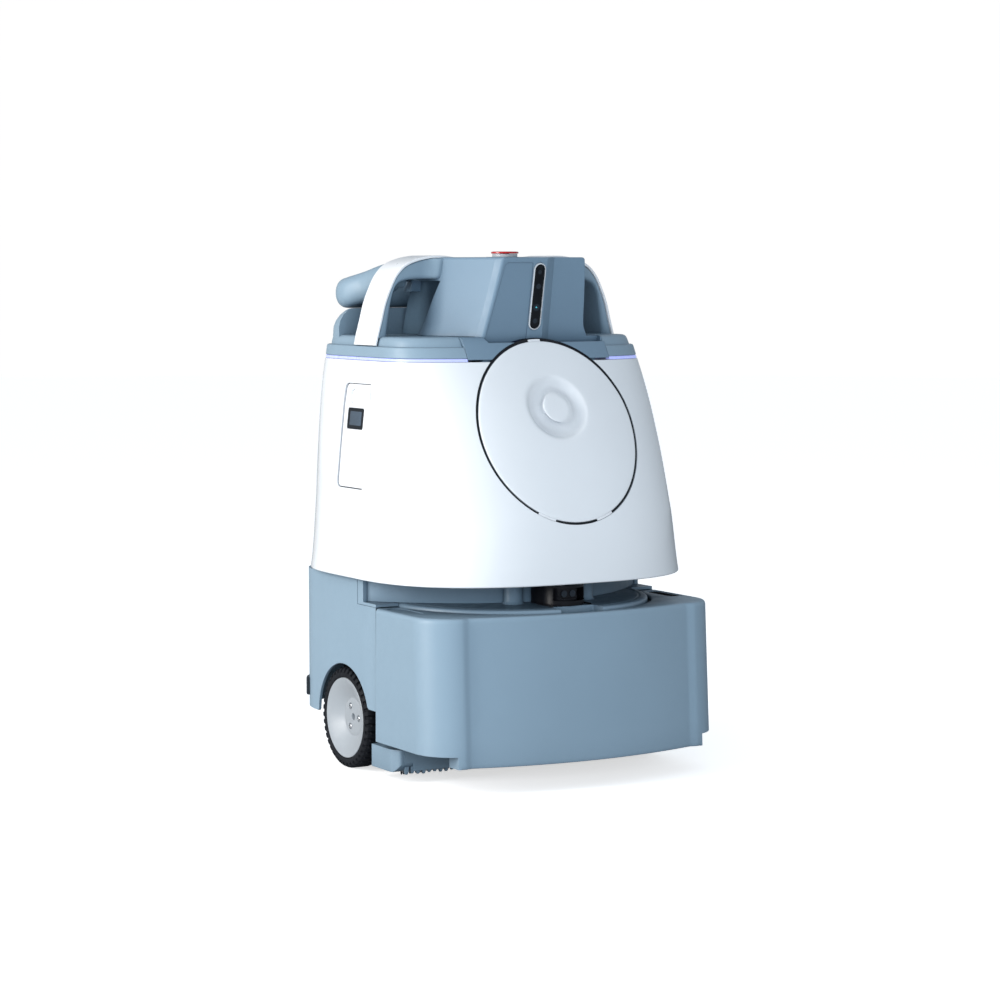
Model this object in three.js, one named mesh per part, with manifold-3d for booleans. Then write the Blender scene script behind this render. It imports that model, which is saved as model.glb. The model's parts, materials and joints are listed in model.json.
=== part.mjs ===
// Self-driving floor cleaner. Millimetres, +Z up, front of the machine towards -Y.
import * as THREE from 'three';
import { mergeVertices } from 'three/addons/utils/BufferGeometryUtils.js';
import Module from 'manifold-3d';

const wasm = await Module();
wasm.setup();

// ---------------------------------------------------------------- driving dimensions
const DY = -12;             // moves the drawing frame so that the origin is mid-length
const WALL = 3.2;           // shell thickness
const GAP = 0.35;           // clearance between touching pieces
const SHELL_Z0 = 246.7;     // lower edge of the upper shell
const SHELL_Z1 = 517;       // upper edge of the upper shell
const BAND_Z0 = 521.3;      // lower edge of the top cover
const DECK_Z = 547.2;       // deck of the top cover
const YC = 22.5;            // widest station of the upper body
const REAR_Y = 217;         // rear face
const BASE_X = 204;         // half width of the base cover
const SEAM_Y = -13.5;       // front edge of the base cover
const BUMPER_Y = -20;       // rear edge of the bumper
const BUMPER_X = 208;       // half width of the bumper
const BUMPER_Z = 213.7;     // rim of the bumper
const LID_Z = 432.2;        // centre height of the round lid
const LID_R = 110.3;        // radius of the lid in front view
const LID_GAP = 2.0;        // gap round the lid
const LID_T = 3.6;          // lid skin
const HINGE_Y = -153.5;     // lid hinge line
const HINGE_Z = 298;
const WHEEL_Y = 76;         // drive axle
const WHEEL_Z = 64;
const TYRE_R = 64;
const DISC_R = 51;
const ARCH_R = 69.5;        // wheel arch
const TOWER_TOP = 646.0;
const ESTOP_Y = 20;
const TOTAL_Z = 653.4;

// half width and front profile of the upper body against height
const BODY = [
  [246.7, 215.0, -166.6], [262, 211.8, -166.6], [280, 209.0, -166.0], [300, 206.4, -164.8],
  [322, 203.8, -162.4], [343, 201.5, -156.7], [375, 198.8, -146.2], [405, 196.0, -135.2],
  [435, 193.0, -122.0], [466, 189.5, -106.6], [495, 185.4, -89.5], [520, 180.5, -74.9],
  [535, 177.8, -65.4], [548, 175.6, -57.4], [560, 174.0, -51.5],
];

// ---------------------------------------------------------------- shape helpers
function lerpTable(T, z, k) {
  if (z <= T[0][0]) return T[0][k];
  for (let i = 1; i < T.length; i++) {
    if (z <= T[i][0]) {
      const u = (z - T[i - 1][0]) / (T[i][0] - T[i - 1][0]);
      return T[i - 1][k] + u * (T[i][k] - T[i - 1][k]);
    }
  }
  return T[T.length - 1][k];
}

function S(geometry) {
  let g = geometry.index ? geometry.toNonIndexed() : geometry.clone();
  g.deleteAttribute('normal');
  g.deleteAttribute('uv');
  g = mergeVertices(g, 1e-3);
  const p = g.attributes.position.array;
  const idx = g.index.array;
  const tri = [];
  let vol = 0;
  for (let i = 0; i < idx.length; i += 3) {
    const [a, b, c] = [idx[i], idx[i + 1], idx[i + 2]];
    if (a === b || b === c || a === c) continue;
    tri.push(a, b, c);
    vol += p[3 * a] * (p[3 * b + 1] * p[3 * c + 2] - p[3 * b + 2] * p[3 * c + 1])
      - p[3 * a + 1] * (p[3 * b] * p[3 * c + 2] - p[3 * b + 2] * p[3 * c])
      + p[3 * a + 2] * (p[3 * b] * p[3 * c + 1] - p[3 * b + 1] * p[3 * c]);
  }
  if (vol < 0) for (let i = 0; i < tri.length; i += 3) [tri[i + 1], tri[i + 2]] = [tri[i + 2], tri[i + 1]];
  return new wasm.Manifold(new wasm.Mesh({
    numProp: 3, vertProperties: new Float32Array(p), triVerts: new Uint32Array(tri),
  }));
}

const AXES = {
  x: new THREE.Matrix4().set(0, 0, 1, 0, 1, 0, 0, 0, 0, 1, 0, 0, 0, 0, 0, 1),   // (u,v,w) -> (w,u,v)
  y: new THREE.Matrix4().set(1, 0, 0, 0, 0, 0, -1, 0, 0, 1, 0, 0, 0, 0, 0, 1),  // (u,v,w) -> (u,-w,v)
  z: new THREE.Matrix4(),
};

function boxG(x0, x1, y0, y1, z0, z1) {
  return new THREE.BoxGeometry(x1 - x0, y1 - y0, z1 - z0)
    .translate((x0 + x1) / 2, (y0 + y1) / 2, (z0 + z1) / 2);
}
const box = (...a) => S(boxG(...a));

// extrusion of an outline: axis z uses (x,y), axis x uses (y,z), axis y uses (x,z)
function prismG(pts, axis, a0, a1) {
  const shape = new THREE.Shape(pts.map(([u, v]) => new THREE.Vector2(u, v)));
  const g = new THREE.ExtrudeGeometry(shape, { depth: a1 - a0, bevelEnabled: false });
  g.applyMatrix4(AXES[axis]);
  if (axis === 'x') g.translate(a0, 0, 0);
  else if (axis === 'y') g.translate(0, a1, 0);
  else g.translate(0, 0, a0);
  return g;
}
const prism = (...a) => S(prismG(...a));

// cylinder or cone along an axis; c1, c2 are the other two coordinates in x, y, z order
function cylG(axis, r, a0, a1, c1, c2, n = 32, r2 = r) {
  const g = new THREE.CylinderGeometry(r2, r, a1 - a0, n);
  const m = (a0 + a1) / 2;
  if (axis === 'x') g.rotateZ(-Math.PI / 2).translate(m, c1, c2);
  else if (axis === 'y') g.translate(c1, m, c2);
  else g.rotateX(Math.PI / 2).translate(c1, c2, m);
  return g;
}
const cyl = (...a) => S(cylG(...a));

// ring or disc of revolution: profile of [radius, along]
function revG(profile, axis, c1, c2, n = 40) {
  const pts = profile.map(([r, a]) => new THREE.Vector2(r, a));
  const closed = profile[0][0] > 1e-6;
  if (closed) pts.push(pts[0].clone());
  const g = new THREE.LatheGeometry(pts, n);
  if (axis === 'x') g.rotateZ(-Math.PI / 2).translate(0, c1, c2);
  else if (axis === 'y') g.translate(c1, 0, c2);
  else g.rotateX(Math.PI / 2).translate(c1, c2, 0);
  return g;
}
const rev = (...a) => S(revG(...a));

// loft: an extruded polygon whose levels are moved onto the given rings
function loft(rings) {
  const n = rings[0].length;
  const shape = new THREE.Shape();
  for (let i = 0; i < n; i++) {
    const t = (2 * Math.PI * (i + 0.5)) / n;
    if (i) shape.lineTo(Math.cos(t), Math.sin(t)); else shape.moveTo(Math.cos(t), Math.sin(t));
  }
  const steps = rings.length - 1;
  const g = new THREE.ExtrudeGeometry(shape, { depth: steps, steps, bevelEnabled: false });
  const p = g.attributes.position;
  for (let k = 0; k < p.count; k++) {
    let t = Math.atan2(p.getY(k), p.getX(k));
    if (t < 0) t += 2 * Math.PI;
    const i = Math.round((t * n) / (2 * Math.PI) - 0.5) % n;
    const q = rings[Math.round(p.getZ(k))][i];
    p.setXYZ(k, q[0], q[1], q[2]);
  }
  return S(g);
}

// tube of an outline along a smooth path
function tube(points, section, steps) {
  const path = new THREE.CatmullRomCurve3(points.map((q) => new THREE.Vector3(...q)), false, 'centripetal');
  const shape = new THREE.Shape(section.map(([u, v]) => new THREE.Vector2(u, v)));
  return S(new THREE.ExtrudeGeometry(shape, { steps, bevelEnabled: false, extrudePath: path }));
}
const ellipse = (a, b, n) => Array.from({ length: n }, (_, i) => [a * Math.cos((2 * Math.PI * i) / n), b * Math.sin((2 * Math.PI * i) / n)]);

function roundRect(u0, u1, v0, v1, r, n = 4) {
  const out = [];
  const c = [[u1 - r, v0 + r, -90], [u1 - r, v1 - r, 0], [u0 + r, v1 - r, 90], [u0 + r, v0 + r, 180]];
  for (const [cu, cv, a] of c) {
    for (let i = 0; i <= n; i++) {
      const t = ((a + (90 * i) / n) * Math.PI) / 180;
      out.push([cu + r * Math.cos(t), cv + r * Math.sin(t)]);
    }
  }
  return out;
}

// section of the upper body at height z, moved inwards by off
const NSEC = 44;
function bodyRing(z, off = 0, zOut = z) {
  const A = lerpTable(BODY, z, 1) - off;
  const F = YC - lerpTable(BODY, z, 2) - off;
  const R = REAR_Y - YC - off;
  const nR = 5 + (2 * (z - 246.7)) / 273;
  const ring = [];
  for (let i = 0; i < NSEC; i++) {
    const t = (2 * Math.PI * (i + 0.5)) / NSEC;
    const c = Math.cos(t), s = Math.sin(t);
    const n = s < 0 ? 2.7 : nR;
    ring.push([A * Math.sign(c) * Math.abs(c) ** (2 / n), YC + (s < 0 ? F : R) * Math.sign(s) * Math.abs(s) ** (2 / n), zOut]);
  }
  return ring;
}
function bodyLoft(z0, z1, off = 0) {
  const zs = [z0, ...BODY.map((b) => b[0]).filter((z, i) => z > z0 + 4 && z < z1 - 4 && (i % 2 === 0 || z === 405)), z1];
  return loft(zs.map((z) => bodyRing(z, off)));
}

// tower section: front edge, flank and rear edge against height
const TOWER = [
  [540, 78, -49.5, 110, 153], [548, 76, -51, 108.5, 150], [560, 70.5, -53.3, 103, 146], [600, 67, -61, 95.5, 130],
  [640, 63, -68.5, 88, 112], [646, 62.3, -69.3, 87, 108.5],
];
function towerRing(z, off = 0) {
  const xf = lerpTable(TOWER, z, 1) - off * 0.9, yf = lerpTable(TOWER, z, 2) + off;
  const xs = lerpTable(TOWER, z, 3) - off, yr = lerpTable(TOWER, z, 4) - off;
  const pts = [[xs - 3, yr - 9], [xs - 9, yr], [-xs + 9, yr], [-xs + 3, yr - 9], [-xs, 40],
    [-xf - 8, yf + 10], [-xf, yf], [xf, yf], [xf + 8, yf + 10], [xs, 40]];
  return pts.map(([x, y]) => [x, y, z]);
}
function towerLoft(z0, z1, off = 0) {
  const zs = [z0, ...TOWER.map((t) => t[0]).filter((z) => z > z0 + 1 && z < z1 - 1), z1];
  return loft(zs.map((z) => towerRing(z, off)));
}

// ---------------------------------------------------------------- collecting the pieces
const COLOUR = {
  body: [0x9fb3c4, 0.45, 0], dark: [0x39424c, 0.6, 0], white: [0xf1f3f6, 0.22, 0], lightgrey: [0xcdd3d8, 0.4, 0],
  black: [0x14161a, 0.5, 0], gloss: [0x08090b, 0.12, 0], rubber: [0x1d2024, 0.85, 0], steel: [0xb8bcc0, 0.35, 0.9],
  red: [0xc0202a, 0.4, 0], light: [0xd9dcff, 0.3, 0], bag: [0xe7e2d6, 0.9, 0], green: [0x2d5b3c, 0.6, 0],
  motor: [0x6d7378, 0.5, 0.6], bristle: [0x4a5f73, 0.8, 0],
};
const mats = {};
const part = new THREE.Group();
part.position.y = DY;
const pieces = new Map();
function add(name, man, colour) { pieces.set(name, [man, colour]); }
function finish() { for (const [name, [man, colour]] of pieces) emit(name, man, colour); }
function emit(name, man, colour) {
  const m = man.getMesh();
  const g = new THREE.BufferGeometry();
  const n = m.numProp;
  const pos = new Float32Array((m.vertProperties.length / n) * 3);
  for (let i = 0; i < pos.length / 3; i++) for (let k = 0; k < 3; k++) pos[3 * i + k] = m.vertProperties[n * i + k];
  g.setAttribute('position', new THREE.BufferAttribute(pos, 3));
  g.setIndex(new THREE.BufferAttribute(new Uint32Array(m.triVerts), 1));
  g.computeVertexNormals();
  const [c, r, me] = COLOUR[colour];
  mats[colour] ??= new THREE.MeshStandardMaterial({ color: c, roughness: r, metalness: me });
  const mesh = new THREE.Mesh(g, mats[colour]);
  mesh.name = name;
  part.add(mesh);
}

// ================================================================ base
// plan of the base cover
function basePlan(off) {
  const r = 57 - off, X = BASE_X - off, Y = REAR_Y - off, out = [];
  out.push([-X, SEAM_Y]);
  out.push([X, SEAM_Y]);
  for (let i = 0; i <= 6; i++) { const t = (15 * i * Math.PI) / 180; out.push([X - r + r * Math.cos(t), Y - r + r * Math.sin(t)]); }
  for (let i = 0; i <= 6; i++) { const t = ((90 + 15 * i) * Math.PI) / 180; out.push([-X + r + r * Math.cos(t), Y - r + r * Math.sin(t)]); }
  return out;
}
const NOTCH_Y = 36;
const COVER_TOP = 246.3;
const sideProfile = [[SEAM_Y, 84], [WHEEL_Y - Math.sqrt(ARCH_R ** 2 - 400), 84]];
for (let i = 1; i < 14; i++) {
  const t = ((163.3 - (163.3 * i) / 14) * Math.PI) / 180;
  sideProfile.push([WHEEL_Y + ARCH_R * Math.cos(t), WHEEL_Z + ARCH_R * Math.sin(t)]);
}
sideProfile.push([WHEEL_Y + ARCH_R, WHEEL_Z], [REAR_Y + 5, WHEEL_Z], [REAR_Y + 5, COVER_TOP], [NOTCH_Y, COVER_TOP], [NOTCH_Y, 213.6], [SEAM_Y, 213.6]);
{
  const walls = prism(basePlan(0), 'z', 40, 260).subtract(
    prism(basePlan(3.5).map(([x, y], i) => [x, i < 2 ? y - 30 : y]), 'z', 30, 270));
  const bay = prism(roundRect(-89, 89, 107, 201, 8), 'y', 180, 240);
  add('base_cover', walls.intersect(prism(sideProfile, 'x', -230, 230)).subtract(bay), 'body');
}

// chassis: rear floor, raised front plate over the brush head, wheel wells
{
  const tub = [[-166, 11], [166, 11], [166, 150], [152, 186], [126, 204], [-126, 204], [-152, 186], [-166, 150]];
  const floor = prism(tub, 'z', 26, 31).add(prism(tub, 'z', 26, 63).subtract(prism(tub.map(([x, y]) => [x * 0.975, y - 4]), 'z', 30, 70)).intersect(box(-200, 200, 146, 220, 20, 64)));
  let pan = floor
    .add(box(-166, 166, 11, 15, 26, 63)).add(box(-188, 188, -142, -2, 58, 63)).add(box(-166, 166, -4, 15, 58, 63))
    .add(box(162, 166, 11, 149, 26, 140)).add(box(-166, -162, 11, 149, 26, 140));
  // the strip that carries the casters stands one millimetre above the flat underside
  pan = pan.subtract(box(-170, 170, 5, 52, 20, 27));
  pan = pan.subtract(cyl('x', 9, -180, 180, WHEEL_Y, WHEEL_Z, 20));
  pan = pan.subtract(cyl('z', 26, 50, 70, 0, -25, 24));
  for (const s of [-1, 1]) pan = pan.subtract(cyl('z', 5.5, 20, 40, s * 110, 28, 20));
  add('chassis_pan', pan, 'dark');
}

// deck under the lidar gap, in two pieces
{
  const R = 172;
  let deck = rev([[0, 208.5], [R, 208.5], [R, 214.5], [R - 3, 217], [R - 9, 217.6], [0, 217.6]].reverse(), 'z', 0, 0, 44);
  deck = deck.subtract(box(-30, 30, -190, -146, 200, 230)).subtract(cyl('z', 24, 200, 230, 0, -10, 24));
  deck = deck.subtract(box(-14, 14, -136, -106, 200, 222));
  add('lidar_deck', deck, 'body');
  let plate = prism([[-200, SEAM_Y], [200, SEAM_Y], [200, 160], [184, 196], [146, 213], [-146, 213], [-184, 196], [-200, 160]], 'z', 202.5, 207.9)
    .subtract(cyl('z', 24, 195, 215, 0, -10, 24)).subtract(box(-60, 60, 60, 95, 195, 215));
  add('base_top_plate', plate, 'dark');
}

// neck behind the lidar gap
{
  const front = [], back = [];
  for (let i = 0; i <= 24; i++) {
    const x = -200 + (400 * i) / 24;
    const y = -85 + 115 * (Math.abs(x) / 204) ** 2.2;
    front.push([x, y]);
    back.push([x, y + 3.6]);
  }
  const ceiling = prism(bodyRing(254, WALL + 0.6).map(([x, y]) => [x, y]), 'z', 251, 254).subtract(box(-24, 24, -26, 62, 240, 260));
  add('neck_cover', prism([...front, ...back.reverse()], 'z', 217.9, 251.5).add(ceiling), 'body');
}

// lidar: housing on the deck, rotor inside it
{
  const yc = -121;
  let h = cyl('z', 27, 218, 246, 0, yc, 32).add(box(-27, 27, yc, -92, 218, 246));
  h = h.subtract(cyl('z', 22.5, 221.5, 243, 0, yc, 32)).subtract(box(-22, 22, -160, yc, 224, 240));
  add('lidar_housing', h, 'black');
  add('lidar_rotor', cyl('z', 19, 223, 241, 0, yc, 24).subtract(box(-13, 13, yc - 20, yc - 14, 227, 237)), 'black');
}

// brush head with side caps, roller with axle ends
{
  const hood = box(-187.5, 187.5, -58, 8, 14, 51).subtract(box(-183, 183, -53, 3, 0, 47.5)).subtract(cyl('z', 21, 40, 60, 0, -25, 24));
  const cap = prism([[188 - 1, -42], [196, -40], [200, -34], [200, 6], [198, 8], [187, 8]], 'z', 13, 41);
  const capL = prism([[-187, -42], [-187, 8], [-198, 8], [-200, 6], [-200, -34], [-196, -40]], 'z', 13, 41);
  let head = hood.add(cap).add(capL);
  head = head.subtract(cyl('x', 5.6, -190, 190, -25, 25, 16));
  add('brush_head', head, 'body');
  let roller = cyl('x', 15, -180, 180, -25, 25, 20).add(cyl('x', 5, -189, 189, -25, 25, 16));
  for (let k = 0; k < 3; k++) {
    const pts = [];
    for (let i = 0; i <= 8; i++) {
      const t = (Math.PI / 2) * k + (i / 8) * 1.6;
      pts.push([-176 + (352 * i) / 8, -25 + 17 * Math.cos(t), 25 + 17 * Math.sin(t)]);
    }
    roller = roller.add(tube(pts, ellipse(4.2, 3, 6), 8));
  }
  add('brush_roller', roller, 'bristle');
}
add('brush_motor', cyl('x', 24, 40, 130, -110, 92, 24).add(cyl('x', 9, 129, 150, -110, 92, 16)).add(box(52, 100, -124, -96, 63.4, 92)), 'motor');

// suction path from the head to the dust chamber
{
  const path = [[0, -25, 52], [0, -24, 90], [0, -18, 140], [0, -10, 195], [0, -10, 235], [0, 30, 262], [0, 88, 300], [0, 112, 360], [0, 110, 410], [0, 92, LID_Z], [0, 74.5, LID_Z]];
  add('suction_hose', tube(path, ellipse(19, 19, 10), 16).subtract(tube(path.map((p) => [...p]), ellipse(15.6, 15.6, 10), 16).add(cyl('z', 16, 48, 56, 0, -25, 12))), 'black');
}

// drive motors, wheels
for (const [side, s] of [['left', -1], ['right', 1]]) {
  const a = (x0, x1) => (s > 0 ? [x0, x1] : [-x1, -x0]);
  add(`drive_motor_${side}`, cyl('x', 28, ...a(118, 161.5), WHEEL_Y, WHEEL_Z, 24).add(cyl('x', 21, ...a(50, 119), WHEEL_Y, WHEEL_Z, 24))
    .subtract(cyl('x', 6.6, ...a(140, 170), WHEEL_Y, WHEEL_Z, 16)), 'motor');
  // disc: outer face dished down to a flat hub boss
  const X = (v) => s * v;
  const prof = [[0, 190], [23, 190], [24.5, 191.4], [46, 201.4], [51, 202.6], [51, 178], [46, 178], [42, 184], [22, 178], [12, 175.5], [12, 168], [5.8, 168], [5.8, 143], [0, 143]];
  let disc = rev(prof.map(([r, x]) => [r, X(x)]), 'x', WHEEL_Y, WHEEL_Z, 28);
  disc = disc.subtract(cyl('x', 4.5, ...a(184, 196), WHEEL_Y, WHEEL_Z, 14));
  add(`wheel_disc_${side}`, disc, 'lightgrey');
  const tp = [[51.4, 201.5], [58, 203.5], [62.6, 200.5], [64, 197], [64, 177], [61, 172.5], [51.4, 172.5]];
  add(`tyre_${side}`, rev(tp.map(([r, x]) => [r, X(x)]), 'x', WHEEL_Y, WHEEL_Z, 36), 'rubber');
  // low swivel caster under the rear floor, just behind the brush head
  const cx = s * 110, cy = 28, wy = cy + 8;
  let fork = cyl('z', 5, 21.6, 34, cx, cy, 16).add(cyl('z', 8, 31.4, 34, cx, cy, 16)).add(box(cx - 9.6, cx + 9.6, cy - 6, cy + 12.5, 21.6, 24.6));
  for (const k of [-1, 1]) fork = fork.add(prism([[cy - 4, 23], [cy + 12.5, 23], [wy + 3.8, 6.2], [wy - 3.8, 6.2]], 'x', cx + k * 8.5 - 1.1, cx + k * 8.5 + 1.1));
  fork = fork.add(cyl('x', 2, cx - 9, cx + 9, wy, 10, 12));
  add(`caster_fork_${side}`, fork, 'steel');
  add(`caster_wheel_${side}`, rev([[2.4, -6.6], [8.6, -6.6], [10, -5.2], [10, 5.2], [8.6, 6.6], [2.4, 6.6]].map(([r, x]) => [r, cx + x]), 'x', wy, 10, 20), 'rubber');
}

// front bumper
function bumperPlan(z, off) {
  const shift = (10 * (BUMPER_Z - z)) / 180.7;
  const X = BUMPER_X - off - 0.006 * (z - 60);
  const out = [[X, BUMPER_Y]];
  const r = 26 - off;
  const yf = (x) => -187 - shift + off + 34 * (x / 190) ** 2;
  const xc = X - r, yc = yf(xc) + r * 0.86;
  for (let i = 0; i <= 6; i++) { const t = (-(i * 78) / 6) * (Math.PI / 180); out.push([xc + r * Math.cos(t), yc + 4 + r * Math.sin(t)]); }
  for (let i = 1; i < 12; i++) { const x = xc * (1 - i / 12) ** 1; out.push([x, yf(x)]); }
  const left = out.map(([x, y]) => [-x, y]).reverse();
  return [...out, [0, yf(0)], ...left];
}
{
  const ringAt = (z, off) => { const p = bumperPlan(z, off); if (off) { p[0][1] += 40; p[p.length - 1][1] += 40; } return p.map(([x, y]) => [x, y, z]).reverse(); };
  const outer = loft([ringAt(33, 0), ringAt(206, 0), [...ringAt(211.5, 0.6).map(([x, y, z]) => [x, Math.min(y, BUMPER_Y), z])], [...ringAt(BUMPER_Z, 2.6).map(([x, y, z]) => [x, Math.min(y, BUMPER_Y), z])]]);
  const inner = loft([ringAt(30, 3.6), ringAt(209.6, 3.6)]);
  let b = outer.subtract(inner);
  b = b.subtract(box(176, 230, -230, 0, 20, 48)).subtract(box(-230, -176, -230, 0, 20, 48));
  b = b.subtract(cyl('z', 175.4, 205, 220, 0, -2.6, 44));
  b = b.subtract(box(-199, 199, -40, 0, 205, 220).subtract(cyl('z', 230, 204, 206, 0, 0, 12)).subtract(box(-199, 199, -40, 0, 204, 205.5)).intersect(box(-176, 176, -60, 5, 200, 225)));
  for (const s of [-1, 1]) {
    b = b.subtract(box(s > 0 ? 182 : -197, s > 0 ? 197 : -182, -92, -34, 190, 220));
    b = b.add(box(s > 0 ? 172.4 : -176, s > 0 ? 176 : -172.4, -176, -150, 33, 66).intersect(outer));
  }
  add('front_bumper', b, 'body');
}
add('rear_buffer', (() => {
  const o = basePlan(-4).map(([x, y]) => [x, y]), i = basePlan(-GAP);
  const band = prism(o, 'z', 80, 103).subtract(prism(i, 'z', 70, 110));
  return band.intersect(box(-230, 230, 178, 240, 70, 110));
})(), 'rubber');

// battery pack, drawn out of the rear
{
  let b = prism(roundRect(-86, 86, 109.5, 198.5, 6), 'y', 98, REAR_Y - 0.4);
  b = b.subtract(prism(roundRect(-42, 42, 146, 186, 8), 'y', 200, 240)).add(box(-46, 46, 206, REAR_Y - 0.6, 160, 168));
  add('battery_pack', b, 'dark');
}

// ================================================================ upper body
const lidHole = cyl('y', LID_R + LID_GAP, -210, 0, 0, LID_Z, 56);
const skin = (z0, z1, o0, o1) => bodyLoft(z0, z1, o0).subtract(loft([bodyRing(z0, o1, z0 - 1), ...[z0, ...BODY.map((b) => b[0]).filter((z, i) => z > z0 + 4 && z < z1 - 4 && (i % 2 === 0 || z === 405)), z1].map((z) => bodyRing(z, o1)), bodyRing(z1, o1, z1 + 1)]));
const panelOutline = (g) => roundRect(26 - g, 98 + g, 358 - g, 487 + g, 7 + g, 3);
const windowOutline = (g) => roundRect(43 - g, 86 + g, 431 - g, 457 + g, 2.5 + g, 2);
{
  let shell = skin(SHELL_Z0, SHELL_Z1, 0, WALL).subtract(lidHole);
  shell = shell.subtract(prism(panelOutline(0.6), 'x', -240, -150)).subtract(prism(panelOutline(0.6), 'x', 150, 240));
  for (let i = 0; i < 6; i++) shell = shell.subtract(prism(roundRect(-55, 55, 285 + 11 * i, 290 + 11 * i, 2.4, 2), 'y', 205, 230));
  add('upper_shell', shell, 'white');
}
for (const [side, s] of [['left', -1], ['right', 1]]) {
  const x = s < 0 ? [-240, -150] : [150, 240];
  const thick = (o0, o1) => loft([345, 405, 435, 466, 495].map((z) => bodyRing(z, o0))).subtract(loft([340, 345, 405, 435, 466, 495, 500].map((z) => bodyRing(Math.min(Math.max(z, 345), 495), o1, z))));
  let panel = thick(1.0, 4.6).intersect(prism(panelOutline(0), 'x', ...x)).subtract(prism(windowOutline(0.4), 'x', ...x));
  panel = panel.subtract(prism(roundRect(44, 84, 464, 481, 8), 'x', ...x).intersect(loft([345, 405, 435, 466, 495].map((z) => bodyRing(z, -2)))).subtract(loft([340, 345, 405, 435, 466, 495, 500].map((z) => bodyRing(Math.min(Math.max(z, 345), 495), 3.0, z)))));
  add(`side_panel_${side}`, panel, 'white');
  add(`side_window_${side}`, thick(1.8, 5.6).intersect(prism(windowOutline(0), 'x', ...x)), 'gloss');
}
{
  let ring = skin(SHELL_Z1 + GAP, BAND_Z0 - GAP, 0.4, 9);
  ring = ring.subtract(box(-103, 103, -120, 0, 500, 540));
  add('light_ring', ring, 'light');
}

// top cover: band, deck, rear shoulder
const towerOut = towerLoft(540, TOWER_TOP, 0);
// hand room under each carrying arch: the flank steps in behind a slanting edge
const handRoom = (d, top = 616.5) => [-1, 1]
  .map((s) => prism([[28.5 - d, top + d], [58.2 - d, 536], [175, 536], [175, 602.5 + d], [100 + d, 602.5 + d], [100 + d, top + d]], 'x', ...(s > 0 ? [78.5 - d, 140] : [-140, -78.5 + d])))
  .reduce((a, b) => a.add(b));
{
  const inset = (z, o, zo) => bodyRing(z, o, zo ?? z);
  const outer = loft([inset(BAND_Z0, 0), inset(533, 0), inset(535.2, 1.6), inset(535.5, 4.4), inset(544, 5.2), inset(546.6, 7), inset(DECK_Z, 10)]);
  const innr = loft([inset(BAND_Z0, 4, 515), inset(533, 4), inset(535, 8), inset(543.6, 9)]);
  let top = outer.subtract(innr);
  // rear shoulder under the push handle
  const at545 = (z, g) => bodyRing(545, g, z);
  const cut = (y) => prism([[y, 530], [REAR_Y + 20, 530], [REAR_Y + 20, 590], [y + 10, 590]], 'x', -230, 230);
  top = top.add(loft([at545(541, 5.3), at545(557, 6), at545(572, 13), at545(579.5, 22)]).intersect(cut(150)));
  top = top.subtract(loft([at545(539, 9.3), at545(556, 10), at545(569, 17), at545(575, 26)]).intersect(cut(154.5)));
  top = top.subtract(box(-102.8, 102.8, -120, -30, 515, 560));
  top = top.subtract(towerLoft(540, TOWER_TOP, -GAP).subtract(handRoom(-GAP)));
  add('top_cover', top, 'body');
}
// tower cover with the apron round the lid
{
  const hollow = (z0, z1) => towerLoft(z0, z1, 3.4).subtract(handRoom(3.6));
  let t = towerOut.subtract(hollow(540, TOWER_TOP - 3.6)).subtract(hollow(540, 560).translate([0, 0, -1.2])).subtract(handRoom(0));
  t = t.intersect(box(-200, 200, -120, 200, DECK_Z + GAP, 660).add(box(-102.4, 102.4, -120, 0, 530, 560)));
  const apron = loft([BAND_Z0 - 1.8, 535, 547, 552].map((z) => bodyRing(z, 0))).subtract(loft([bodyRing(519.5, 3.6, 512), ...[519.5, 535, 547.5].map((z) => bodyRing(z, 3.6))])).intersect(box(-102.4, 102.4, -120, -36, 510, 552));
  t = t.add(apron.subtract(towerLoft(540, 660 - 10, 3.4).add(box(-60, 60, -50, 40, 500, 560)))).subtract(lidHole);
  t = t.subtract(hollow(540, 600).intersect(box(-95, 95, -44, 200, 530, 600)));
  // wells for the emergency stop, camera and display
  t = t.subtract(cyl('z', 21, 640, 660, 0, ESTOP_Y, 32));
  t = t.add(cyl('z', 24, 636, 643.5, 0, ESTOP_Y, 32).subtract(cyl('z', 21, 638.5, 660, 0, ESTOP_Y, 32)).subtract(cyl('z', 9.6, 630, 642, 0, ESTOP_Y, 20)));
  add('tower_cover', t, 'body');
}


// camera bar on the tower front: local x = X, local y = down the face, local z = outward
{
  const top = new THREE.Vector3(0, -68.9, 638), bot = new THREE.Vector3(0, -52.8, 556);
  const dn = bot.clone().sub(top), len = dn.length();
  dn.normalize();
  const nrm = new THREE.Vector3(0, -1, 0).addScaledVector(dn, dn.y).normalize();
  const mid = top.clone().add(bot).multiplyScalar(0.5);
  const m = new THREE.Matrix4().makeBasis(new THREE.Vector3().crossVectors(dn, nrm), dn, nrm).setPosition(mid);
  const bar = (w, ext, z0, z1) => {
    const pts = [];
    const h = len / 2 - 8 + ext;
    for (let i = 0; i <= 8; i++) { const t = (-Math.PI * i) / 8; pts.push([w * Math.cos(t), -h + w * Math.sin(t)]); }
    for (let i = 0; i <= 8; i++) { const t = Math.PI - (Math.PI * i) / 8; pts.push([w * Math.cos(t), h + w * Math.sin(t)]); }
    const g = prismG(pts.reverse(), 'z', z0, z1);
    g.applyMatrix4(m);
    return S(g);
  };
  const cover = pieces.get('tower_cover');
  pieces.set('tower_cover', [cover[0].subtract(bar(9.0, 0, -12, 12)), cover[1]]);
  add('camera_bezel', bar(8.65, 0, -3.4, 0.6).subtract(bar(7.3, 0, -1.6, 4)), 'steel');
  add('camera_glass', bar(6.95, 0, -1.25, 0.25), 'gloss');
}

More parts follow.
